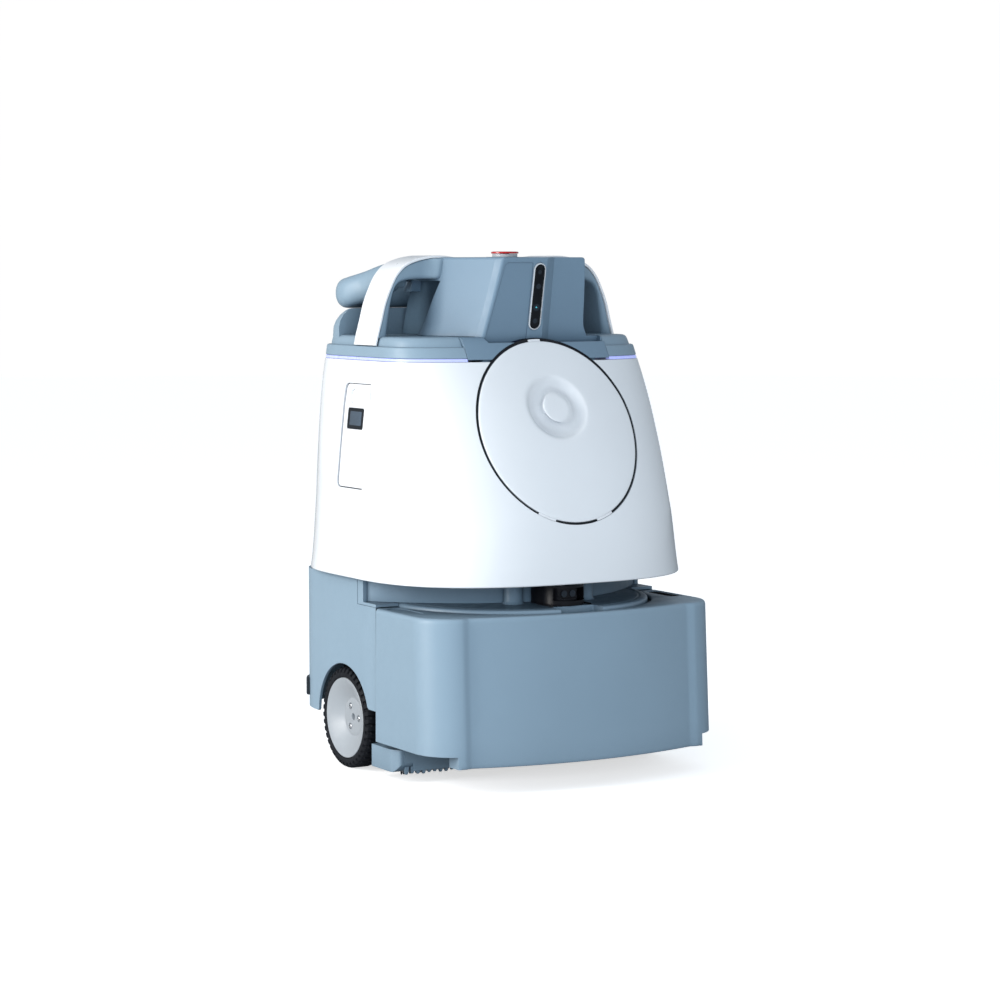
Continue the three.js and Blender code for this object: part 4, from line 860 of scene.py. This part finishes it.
b = loft("bumper", [bumper_ring(33, 1.6), bumper_ring(33.4, 0.6), bumper_ring(34.6, 0)] + [bumper_ring(z, 0) for z in np.linspace(38, 206, 22)]
         + [bumper_ring(z, o) for z, o in ((209.2, 0.0), (210.9, 0.4), (212.3, 1.2), (213.2, 2.4), (213.6, 3.8), (213.7, 5.4))])
cut(b, loft("in", [bumper_ring(30, 3.6, back=40), bumper_ring(209.6, 3.6, back=40)]))
cut(b, box(176, 230, -230, 0, 20, 48), box(-230, -176, -230, 0, 20, 48))
cut(b, rev([(0, 204), (175.4, 204), (175.4, 212.3), (176.3, 213.3), (177.6, 213.75), (177.6, 220), (0, 220)], "z", 0, -2.6, 256))
cut(b, box(-176, 176, -40, 5, 205.5, 225))
for s in (-1, 1):
    cut(b, prism(round_rect(*((182, 197) if s > 0 else (-197, -182)), -92, -34, 7, 10), "z", 190, 220))
for s in (-1, 1):
    x0, x1 = (172.4, 176) if s > 0 else (-176, -172.4)
    join(b, keep(box(x0, x1, -176, -150, 33, 66), loft("o", [bumper_ring(33, 0), bumper_ring(100, 0)])))
# shallow wells round the two rim slots
for s in (-1, 1):
    xs_ = (178.5, 200.5) if s > 0 else (-200.5, -178.5)
    cut(b, loft("well", [[(x, y, 212.9) for x, y in round_rect(xs_[0], xs_[1], -96, -30, 10.5, 10)], [(x, y, 216) for x, y in round_rect(xs_[0] - 1.5, xs_[1] + 1.5, -97.5, -28.5, 12, 10)]]))
piece(b, "bumper_shell", "front_bumper")


def base_plan(off, n=16):
    r, X, Y = 57 - off, 204 - off, REAR_Y - off
    out = [(-X, SEAM_Y), (X, SEAM_Y)]
    out += [(X - r + r * math.cos(t), Y - r + r * math.sin(t)) for t in np.radians(np.linspace(0, 90, n))]
    out += [(-X + r + r * math.cos(t), Y - r + r * math.sin(t)) for t in np.radians(np.linspace(90, 180, n))]
    return out


side_prof = [(SEAM_Y, 84), (WY - math.sqrt(ARCH_R**2 - 400) - 3, 84)]
side_prof += [(WY + ARCH_R * math.cos(t), WZ + ARCH_R * math.sin(t)) for t in np.radians(np.linspace(161, 2, 44))]
side_prof += [(WY + ARCH_R + 2.5, WZ), (REAR_Y + 5, WZ + 4), (REAR_Y + 5, 246.3), (36, 246.3), (36, 213.6), (SEAM_Y, 213.6)]
inner_plan = [(x, y - 30) if i < 2 else (x, y) for i, (x, y) in enumerate(base_plan(3.5))]
base = cut(prism(base_plan(0), "z", 40, 260), prism(inner_plan, "z", 30, 270))
keep(base, prism(side_prof, "x", -230, 230))
cut(base, prism(round_rect(-89, 89, 107, 201, 8), "y", 180, 240))
piece(base, "base_skin", "base_cover")

# neck, its ceiling and the two posts behind the scanner
xs_ = np.linspace(-200, 200, 97)
nf = [(x, -85 + 115 * (abs(x) / 204) ** 2.2) for x in xs_]
neck = prism(nf + [(x, y + 3.6) for x, y in nf[::-1]], "z", 217.9, 251.5)
join(neck, cut(loft("ceil", [body_ring(254, 3.8, 251), body_ring(254, 3.8, 254)]), box(-24, 24, -26, 62, 240, 260)))
piece(neck, "neck_wall", "neck_cover", mat="blue")
for s in (-1, 1):
    piece(rev([(14.5, 217.75), (12.6, 219.6), (12.0, 222), (12.0, 246), (12.6, 248.2), (14, 250.5), (0, 250.5), (0, 217.75)][::-1] if False else
              [(0, 217.75), (14.5, 217.75), (12.6, 219.6), (12.0, 222), (12.0, 246), (12.6, 248.2), (14, 250.6), (0, 250.6)], "z", s * 51, -88 + 26 if False else -89, 48),
          f"neck_post_{'left' if s < 0 else 'right'}", [], mat="blue", slot="blue", body="root")

deck = rev([(0, 208.5), (172, 208.5), (172, 214.0), (171.6, 215.4), (170.6, 216.5), (169, 217.2), (166.5, 217.55), (164, 217.6), (0, 217.6)], "z", 0, 0, 256)
cut(deck, rev([(160.5, 216.9), (162.3, 216.9), (163.2, 217.3), (163.2, 218.5), (159.6, 218.5), (159.6, 217.3)], "z", 0, 0, 256))
cut(deck, prism(round_rect(-30, 30, -190, -146, 3), "z", 200, 230), cyl("z", 24, 200, 230, 0, -10), box(-14, 14, -136, -106, 200, 222))
piece(deck, "scanner_deck", "lidar_deck")

# scanner: dark housing, its turning head and the window in front
yc = -121
h = join(rev([(0, 218), (27, 218), (27, 244.6), (26.4, 245.6), (25.2, 246), (0, 246)], "z", 0, yc, 96), box(-26.95, 26.95, yc, -92, 218, 245.9))
cut(h, cyl("z", 22.5, 221.5, 243, 0, yc, 96), box(-22, 22, -160, yc, 224, 240))
piece(h, "scanner_housing", "lidar_housing")
rot = rev([(0, 223), (18.4, 223), (19, 223.6), (19, 229), (18.5, 229.6), (18.5, 234.4), (19, 235), (19, 240.4), (18.4, 241), (0, 241)], "z", 0, yc, 96)
cut(rot, box(-13, 13, yc - 20, yc - 14, 226.5, 237.5))
piece(rot, "scanner_head", "lidar_rotor")
piece(placed(rev([(0, 0), (4.2, 0), (4.2, 0.8), (3.4, 1.0), (3.0, 0.7), (2.0, 1.2), (0, 1.5)], "y", 0, 0, 40), Matrix.Translation((-0.006, (yc - 13.9 + DY) / 1000 - 0.0016, 0.232))),
      "scanner_lens_1", [], mat="lens", slot="black", body="lidar_spin")
piece(placed(rev([(0, 0), (4.2, 0), (4.2, 0.8), (3.4, 1.0), (3.0, 0.7), (2.0, 1.2), (0, 1.5)], "y", 0, 0, 40), Matrix.Translation((0.006, (yc - 13.9 + DY) / 1000 - 0.0016, 0.232))),
      "scanner_lens_2", [], mat="lens", slot="black", body="lidar_spin")
# stepped dark wings beside the scanner, in the deck's notch
for s in (-1, 1):
    piece(loft("wing", [[(s * x, y, z) for x, y in ((27.4, -146), (29.4, -140), (29.4, -112), (27.4, -106))] for z in (217.8, 219.6)]),
          f"scanner_wing_{'left' if s < 0 else 'right'}", [], mat="black", slot="black", body="root")

# dark edge trims in the seam between base and bumper, and sills that close the neck's sides
for side, q in (("left", -1), ("right", 1)):
    xr = lambda u, v: sorted((q * u, q * v))
    piece(box(*xr(200.6, 203.9), -15.0, -13.6, 64.5, 213.0), f"seam_trim_{side}", [], mat="rubber", slot="black", body="root")
    sill = prism([(q * x, y) for x, y in [(171, -13.2), (203.7, -13.2), (203.7, 35.6), (171, 35.6)]], "z", 213.95, 217.5)
    cut(sill, cyl("z", 172.5, 200, 230, 0, 0, 128))
    piece(join(sill, box(*xr(198.5, 203.7), 21, 35.6, 213.95, 246.1)), f"neck_sill_{side}", [], mat="blue", slot="blue", body="root")
    liner = loft("liner", [[(q * x, y, z) for x, y in round_rect(182.3, 196.7, -91.7, -34.3, 6.7, 10)] for z in (206.5, 213.1)])
    if q > 0:
        cut(liner, prism([(q * x, y) for x, y in round_rect(184.6, 194.4, -89.4, -36.6, 4.6, 10)], "z", 200, 220))
        piece(liner, f"rim_slot_liner_{side}", [], mat="rubber", slot="black", body="bumper")
    else:
        piece(liner, f"rim_slot_plug_{side}", [], mat="blue", slot="blue", body="bumper")

# buffer strip at the back
o_, i_ = base_plan(-4), base_plan(-0.35)
buf = loft("buf", [[(x, y, z) for x, y in base_plan(-4 + c)] for z, c in ((80, 1.2), (80.5, 0.4), (81.5, 0), (90.2, 0), (90.6, 0.5), (91.4, 0.5), (91.8, 0), (101.5, 0), (102.5, 0.4), (103, 1.2))])
cut(buf, prism(i_, "z", 70, 110))
keep(buf, box(-230, 230, 178, 240, 70, 110))
piece(buf, "buffer_strip", "rear_buffer")

bat = prism(round_rect(-86, 86, 109.5, 198.5, 6, 8), "y", 98, 216.6)
cut(bat, prism(round_rect(-42, 42, 146, 186, 8, 8), "y", 200, 240))
join(bat, loft("grip", [[(x, y, z) for y, z in round_rect(206, 216.4, 160, 168, 3.5, 5)] for x in (-46, 46)]))
for i in range(5):
    cut(bat, box(-70, 70, 215.9, 218, 118.5 + 4 * i, 120 + 4 * i))
piece(bat, "battery_case", "battery_pack")

# ------------------------------------------------------------------ drive wheels
for side, s in (("left", -1), ("right", 1)):
    a = lambda v: s * v
    prof = [(0, 190.2), (19.5, 190.2), (22.2, 190.1), (23.4, 189.6), (24.0, 189.5), (25.2, 190.0), (28, 191.7), (33, 194.6), (38.5, 197.6), (43, 199.9), (46.5, 201.3),
            (49, 202.1), (50.2, 202.4), (50.8, 202.0), (51, 201.2), (51, 178), (46, 178), (42, 184), (22, 178), (12, 175.5), (12, 168), (5.8, 168), (5.8, 143), (0, 143)]
    disc = rev([(r, a(x)) for r, x in prof], "x", WY, WZ, 144)
    cut(disc, rev([(0, a(184)), (4.2, a(184)), (4.2, a(189.3)), (4.9, a(190.3)), (4.9, a(193)), (0, a(193))], "x", WY, WZ, 48))
    scr = []
    for k in (61, 181, 301):
        cy, cz = WY + 15 * math.cos(math.radians(k)), WZ + 15 * math.sin(math.radians(k))
        cut(disc, rev([(0, a(188.6)), (4.0, a(188.6)), (4.3, a(190.6)), (0, a(190.6))], "x", cy, cz, 40))
        sc = rev([(0, a(188.3)), (3.5, a(188.3)), (3.6, a(189.6)), (3.2, a(190.5)), (2.2, a(191.1)), (0, a(191.3))], "x", cy, cz, 40)
        cut(sc, prism([(cy + 1.55 * math.cos(math.radians(60 * j)), cz + 1.55 * math.sin(math.radians(60 * j))) for j in range(6)], "x", *sorted((a(189.9), a(193)))))
        scr.append(sc)
    piece(disc, f"wheel_face_{side}", f"wheel_disc_{side}")
    piece(merge("scr", scr), f"wheel_screws_{side}", [], mat="steel", slot="steel", body=f"wheel_{side}")
    # tyre: 40 lugs across the tread, stepped at the shoulders
    lug_n, n = 40, 480
    tp = [(51.4, 201.0, 0, 0), (52.2, 202.6, 0, 0), (55.2, 203.2, 0, 0), (57.6, 203.0, 0.2, 0.3), (58.4, 203.3, 1.0, 1.8), (60.4, 202.6, 1.3, 2.6), (62.4, 200.9, 1.9, 2.4), (63.5, 198.6, 2.5, 1.4),
          (64.0, 196.2, 2.5, 0), (64.0, 189.5, 2.3, 0), (64.0, 186.0, 2.3, 0), (64.0, 178.0, 2.5, 0), (63.2, 175.0, 2.2, -1.4), (60.8, 173.0, 1.4, -1.4), (57.6, 173.2, 0, 0), (51.4, 173.4, 0, 0)]
    v, f = [], []
    for j, (r, x, dr, dx) in enumerate(tp):
        for i in range(n):
            t = 2 * math.pi * i / n
            skew = 0.018 * math.sin((x - 188) / 15 * math.pi) if 176 < x < 201 else 0
            ph = ((t + skew) * lug_n / (2 * math.pi) + (0.5 if x < 188 else 0.0)) % 1
            g = 1.0 if ph < 0.36 else 0.0
            if 8 <= j <= 11:
                g = 1.0 if ph < 0.28 else 0.0
            rr, xx = r - dr * g, x - dx * g
            v.append((s * xx, WY + rr * math.cos(t), WZ + rr * math.sin(t)))
    for j in range(len(tp)):
        q, w = j * n, ((j + 1) % len(tp)) * n
        f += [[q + i, q + (i + 1) % n, w + (i + 1) % n, w + i] for i in range(n)]
    piece(put("tyre", v, f), f"tyre_tread_{side}", f"tyre_{side}", angle=24)
    # casters keep their CAD fork, with rounder wheels
    cx = s * 110
    piece(rev([(2.4, cx - 6.6), (5, cx - 6.6), (5.6, cx - 6.1), (7.4, cx - 6.1), (8, cx - 6.6), (9, cx - 6.3), (9.7, cx - 5.4), (10, cx - 4), (10, cx + 4), (9.7, cx + 5.4),
               (9, cx + 6.3), (8, cx + 6.6), (7.4, cx + 6.1), (5.6, cx + 6.1), (5, cx + 6.6), (2.4, cx + 6.6)], "x", 36, 10, 96), f"caster_tread_{side}", f"caster_wheel_{side}")

# ------------------------------------------------------------------ floor head with its corner caps and comb
hood = cut(box(-187.5, 187.5, -58, 8, 14, 51), box(-183, 183, -53, 3, 0, 47.5), cyl("z", 21, 40, 60, 0, -25))
parts = [hood]
for s in (-1, 1):
    cap = prism([(s * x, y) for x, y in round_poly([(186, -57), (193, -57), (200, -44), (200, 8), (186, 8)], [0.5, 10, 12, 2.5, 0.5], 8)], "z", 13, 41)
    parts.append(cap)
head = parts[0]
for c in parts[1:]:
    join(head, c)
cut(head, cyl("x", 5.6, -190, 190, -25, 25, 40))
for s in (-1, 1):
    # the cap's front sweeps up in a hollow curve towards the comb
    pts_ = [(-60, 10), (-60, 34)] + [(-60 + 26 * (1 - math.cos(t)), 34 - 24 * math.sin(t)) for t in np.radians(np.linspace(8, 90, 12))]
    cut(head, prism(pts_, "x", *((176, 210) if s > 0 else (-210, -176))))
piece(head, "floor_head", "brush_head")
comb = []
for i in range(47):
    x = -184 + i * 8
    zt = 13.4 + 0.8 * math.sin(i * 1.7)
    comb.append(loft("tooth", [[(x - 2.6, -57.4, 20), (x + 2.6, -57.4, 20), (x + 2.6, -52.4, 20), (x - 2.6, -52.4, 20)], [(x - 2.4, -57.2, zt), (x + 2.4, -57.2, zt), (x + 2.4, -52.6, zt), (x - 2.4, -52.6, zt)],
                               [(x - 1.2, -56.0, zt - 3.4), (x + 1.2, -56.0, zt - 3.4), (x + 1.2, -53.6, zt - 3.4), (x - 1.2, -53.6, zt - 3.4)]]))
piece(merge("comb", comb), "floor_head_comb", [], mat="blue", slot="blue", body="root")
# brush roller: tufts in helical rows round a core
core = cyl("x", 12.5, -180, 180, -25, 25, 48, c=1.0)
tufts = []
rng = np.random.default_rng(7)
tv, tf = [], []
for k in range(4):
    for i in range(118):
        t = math.pi / 2 * k + i / 117 * 1.9
        x = -175 + 350 * i / 117
        for q in range(3):
            w = rng.normal(0, 0.05, 2)
            tt = t + (q - 1) * 0.10
            r1 = 20.2 + rng.uniform(-0.5, 0.6)
            p0 = np.array([x + (q - 1) * 0.6, -25 + 12 * math.cos(tt), 25 + 12 * math.sin(tt)])
            p1 = np.array([x + (q - 1) * 1.2 + w[0] * 14, -25 + r1 * math.cos(tt + w[1]), 25 + r1 * math.sin(tt + w[1])])
            e1, e2 = np.array([0.9, 0, 0]), np.array([0, -math.sin(tt), math.cos(tt)]) * 0.9
            b0 = len(tv)
            for p, sc_ in ((p0, 1.0), (p1, 0.55)):
                tv += [tuple(p + e1 * sc_ + e2 * sc_), tuple(p - e1 * sc_ + e2 * sc_), tuple(p - e1 * sc_ - e2 * sc_), tuple(p + e1 * sc_ - e2 * sc_)]
            tf += [[b0, b0 + 3, b0 + 2, b0 + 1], [b0 + 4, b0 + 5, b0 + 6, b0 + 7]] + [[b0 + j, b0 + (j + 1) % 4, b0 + 4 + (j + 1) % 4, b0 + 4 + j] for j in range(4)]
tuft = put("tufts", tv, tf)
ax = cyl("x", 5, -189, 189, -25, 25, 32, c=0.5)
piece(merge("roller", [core, tuft, ax]), "brush_bristles", "brush_roller")

# ------------------------------------------------------------------ inside
bag = rev([(0, -80), (22, -79), (40, -74), (56, -63), (66, -46), (70, -26), (71, -4), (69, 16), (63, 32), (52, 43), (38, 49), (20, 51), (0, 51.5)], "y", 0, LID_Z - 3, 64)


def plump(o, frames=20, pressure=4.0, cap=0.009, voxel=0.005):
    """Blows a closed fabric shape up with Cloth, and keeps the result in its mesh."""
    m = o.modifiers.new("r", "REMESH")
    m.mode, m.voxel_size = "VOXEL", voxel
    dg = bpy.context.evaluated_depsgraph_get()
    o.data = bpy.data.meshes.new_from_object(o.evaluated_get(dg))
    o.modifiers.clear()
    rest = np.array([v.co for v in o.data.vertices])
    c = o.modifiers.new("c", "CLOTH")
    c.settings.quality = 6
    c.settings.mass = 0.2
    c.settings.tension_stiffness = c.settings.compression_stiffness = 12
    c.settings.bending_stiffness = 0.4
    c.settings.use_pressure = True
    c.settings.uniform_pressure_force = pressure
    c.settings.effector_weights.gravity = 0
    c.point_cache.frame_end = frames
    for f in range(1, frames + 1):
        SC.frame_set(f)
    dg = bpy.context.evaluated_depsgraph_get()
    now = np.array([v.co for v in o.evaluated_get(dg).data.vertices])
    o.modifiers.clear()
    d = now - rest
    ln = np.linalg.norm(d, axis=1)[:, None] + 1e-9
    now = rest + d * np.minimum(1, cap / ln)
    for v, p in zip(o.data.vertices, now):
        v.co = p
    SC.frame_set(1)
    return o


plump(bag)
# pleats and sags that a filled fleece bag shows, and its weld seam round the middle
co = np.array([v.co for v in bag.data.vertices])
cx_, cz_ = 0.0, (LID_Z - 3) / 1000
for v, p in zip(bag.data.vertices, co):
    r = math.hypot(p[0] - cx_, p[2] - cz_)
    t = math.atan2(p[2] - cz_, p[0] - cx_)
    w = min(1, r / 0.05)
    k = 1 - w * (0.018 * math.cos(9 * t + 30 * p[1]) + 0.012 * math.cos(17 * t - 60 * p[1]) + 0.015)
    if abs(p[1] + 0.020) < 0.0035:
        k += 0.012
    v.co = (cx_ + (p[0] - cx_) * k, p[1], cz_ + (p[2] - cz_) * k - 0.0015 * w)
bag.modifiers.new("s", "SUBSURF").levels = 1
bag.modifiers["s"].render_levels = 1
piece(bag, "dust_bag_filled", "dust_bag", mat="fleece", angle=60)

# ================================================================== camera, light and floor
cam_data = bpy.data.cameras.new("cam")
cam = bpy.data.objects.new("cam", cam_data)
SC.collection.objects.link(cam)
cam.location = (-1.79025, -3.07194, 0.63270)
cam.rotation_euler = (Vector((-0.0186, -0.0120, 0.3389)) - cam.location).to_track_quat("-Z", "Y").to_euler()
cam_data.lens, cam_data.sensor_width = 100.58, 36
SC.camera = cam

world = bpy.data.worlds.new("studio")
SC.world = world
world.use_nodes = True
bg = world.node_tree.nodes["Background"]
bg.inputs["Color"].default_value = (0.80, 0.90, 1.0, 1)
bg.inputs["Strength"].default_value = 0.50
SC.view_settings.view_transform = "Standard"


def area(name, loc, target, size, size_y, power, colour=(1, 1, 1)):
    d = bpy.data.lights.new(name, "AREA")
    d.shape, d.size, d.size_y, d.energy, d.color = "RECTANGLE", size, size_y, power, colour
    o = bpy.data.objects.new(name, d)
    o.location = loc
    o.rotation_euler = (Vector(target) - Vector(loc)).to_track_quat("-Z", "Y").to_euler()
    SC.collection.objects.link(o)
    return o


area("key_left", (-2.7, 0.30, 1.05), (0, 0.05, 0.38), 1.1, 1.9, 74, (1.0, 0.975, 0.94))
area("front_fill", (-1.25, -2.5, 0.6), (0, 0, 0.32), 1.5, 0.9, 46, (0.86, 0.93, 1.0)).visible_glossy = False


def stage_mat(name, lo, hi, glow=None):
    """Even, faintly mottled studio paper."""
    m = bpy.data.materials.new(name)
    m.use_nodes = True
    t = m.node_tree
    b = t.nodes["Principled BSDF"]
    b.inputs["Roughness"].default_value = 0.7
    b.inputs["Specular IOR Level"].default_value = 0.2
    n = t.nodes.new("ShaderNodeTexNoise")
    n.inputs["Scale"].default_value = 4.0
    r = t.nodes.new("ShaderNodeValToRGB")
    r.color_ramp.elements[0].color, r.color_ramp.elements[1].color = (*lo, 1), (*hi, 1)
    t.links.new(n.outputs["Fac"], r.inputs["Fac"])
    t.links.new(r.outputs["Color"], b.inputs["Base Color"])
    if glow:
        b.inputs["Emission Color"].default_value = (1, 1, 1, 1)
        b.inputs["Emission Strength"].default_value = glow
    return m


def disc_floor(name, z, mat, camera, bounce):
    n = 96
    v = [(0, 0, z)] + [(13 * math.cos(2 * math.pi * i / n), 13 * math.sin(2 * math.pi * i / n), z) for i in range(n)]
    me = bpy.data.meshes.new(name)
    me.from_pydata(v, [], [(0, i + 1, (i + 1) % n + 1) for i in range(n)])
    o = bpy.data.objects.new(name, me)
    SC.collection.objects.link(o)
    me.materials.append(mat)
    o.visible_camera, o.visible_diffuse, o.visible_glossy, o.visible_shadow = camera, bounce, bounce, bounce
    return o


disc_floor("floor", -0.0004, stage_mat("floor", (0.90, 0.905, 0.91), (0.93, 0.935, 0.94), 0.62), True, False)
disc_floor("floor_bounce", -0.0012, stage_mat("floor_bounce", (0.40, 0.41, 0.42), (0.44, 0.45, 0.46)), False, True)
bpy.ops.mesh.primitive_uv_sphere_add(segments=64, ring_count=32, radius=13)
dome = bpy.context.object
dome.name = "backdrop"
dome.data.materials.append(stage_mat("backdrop", (0.0, 0.0, 0.0), (0.01, 0.01, 0.01), 1.0))
dome.visible_diffuse = dome.visible_glossy = dome.visible_transmission = dome.visible_shadow = False
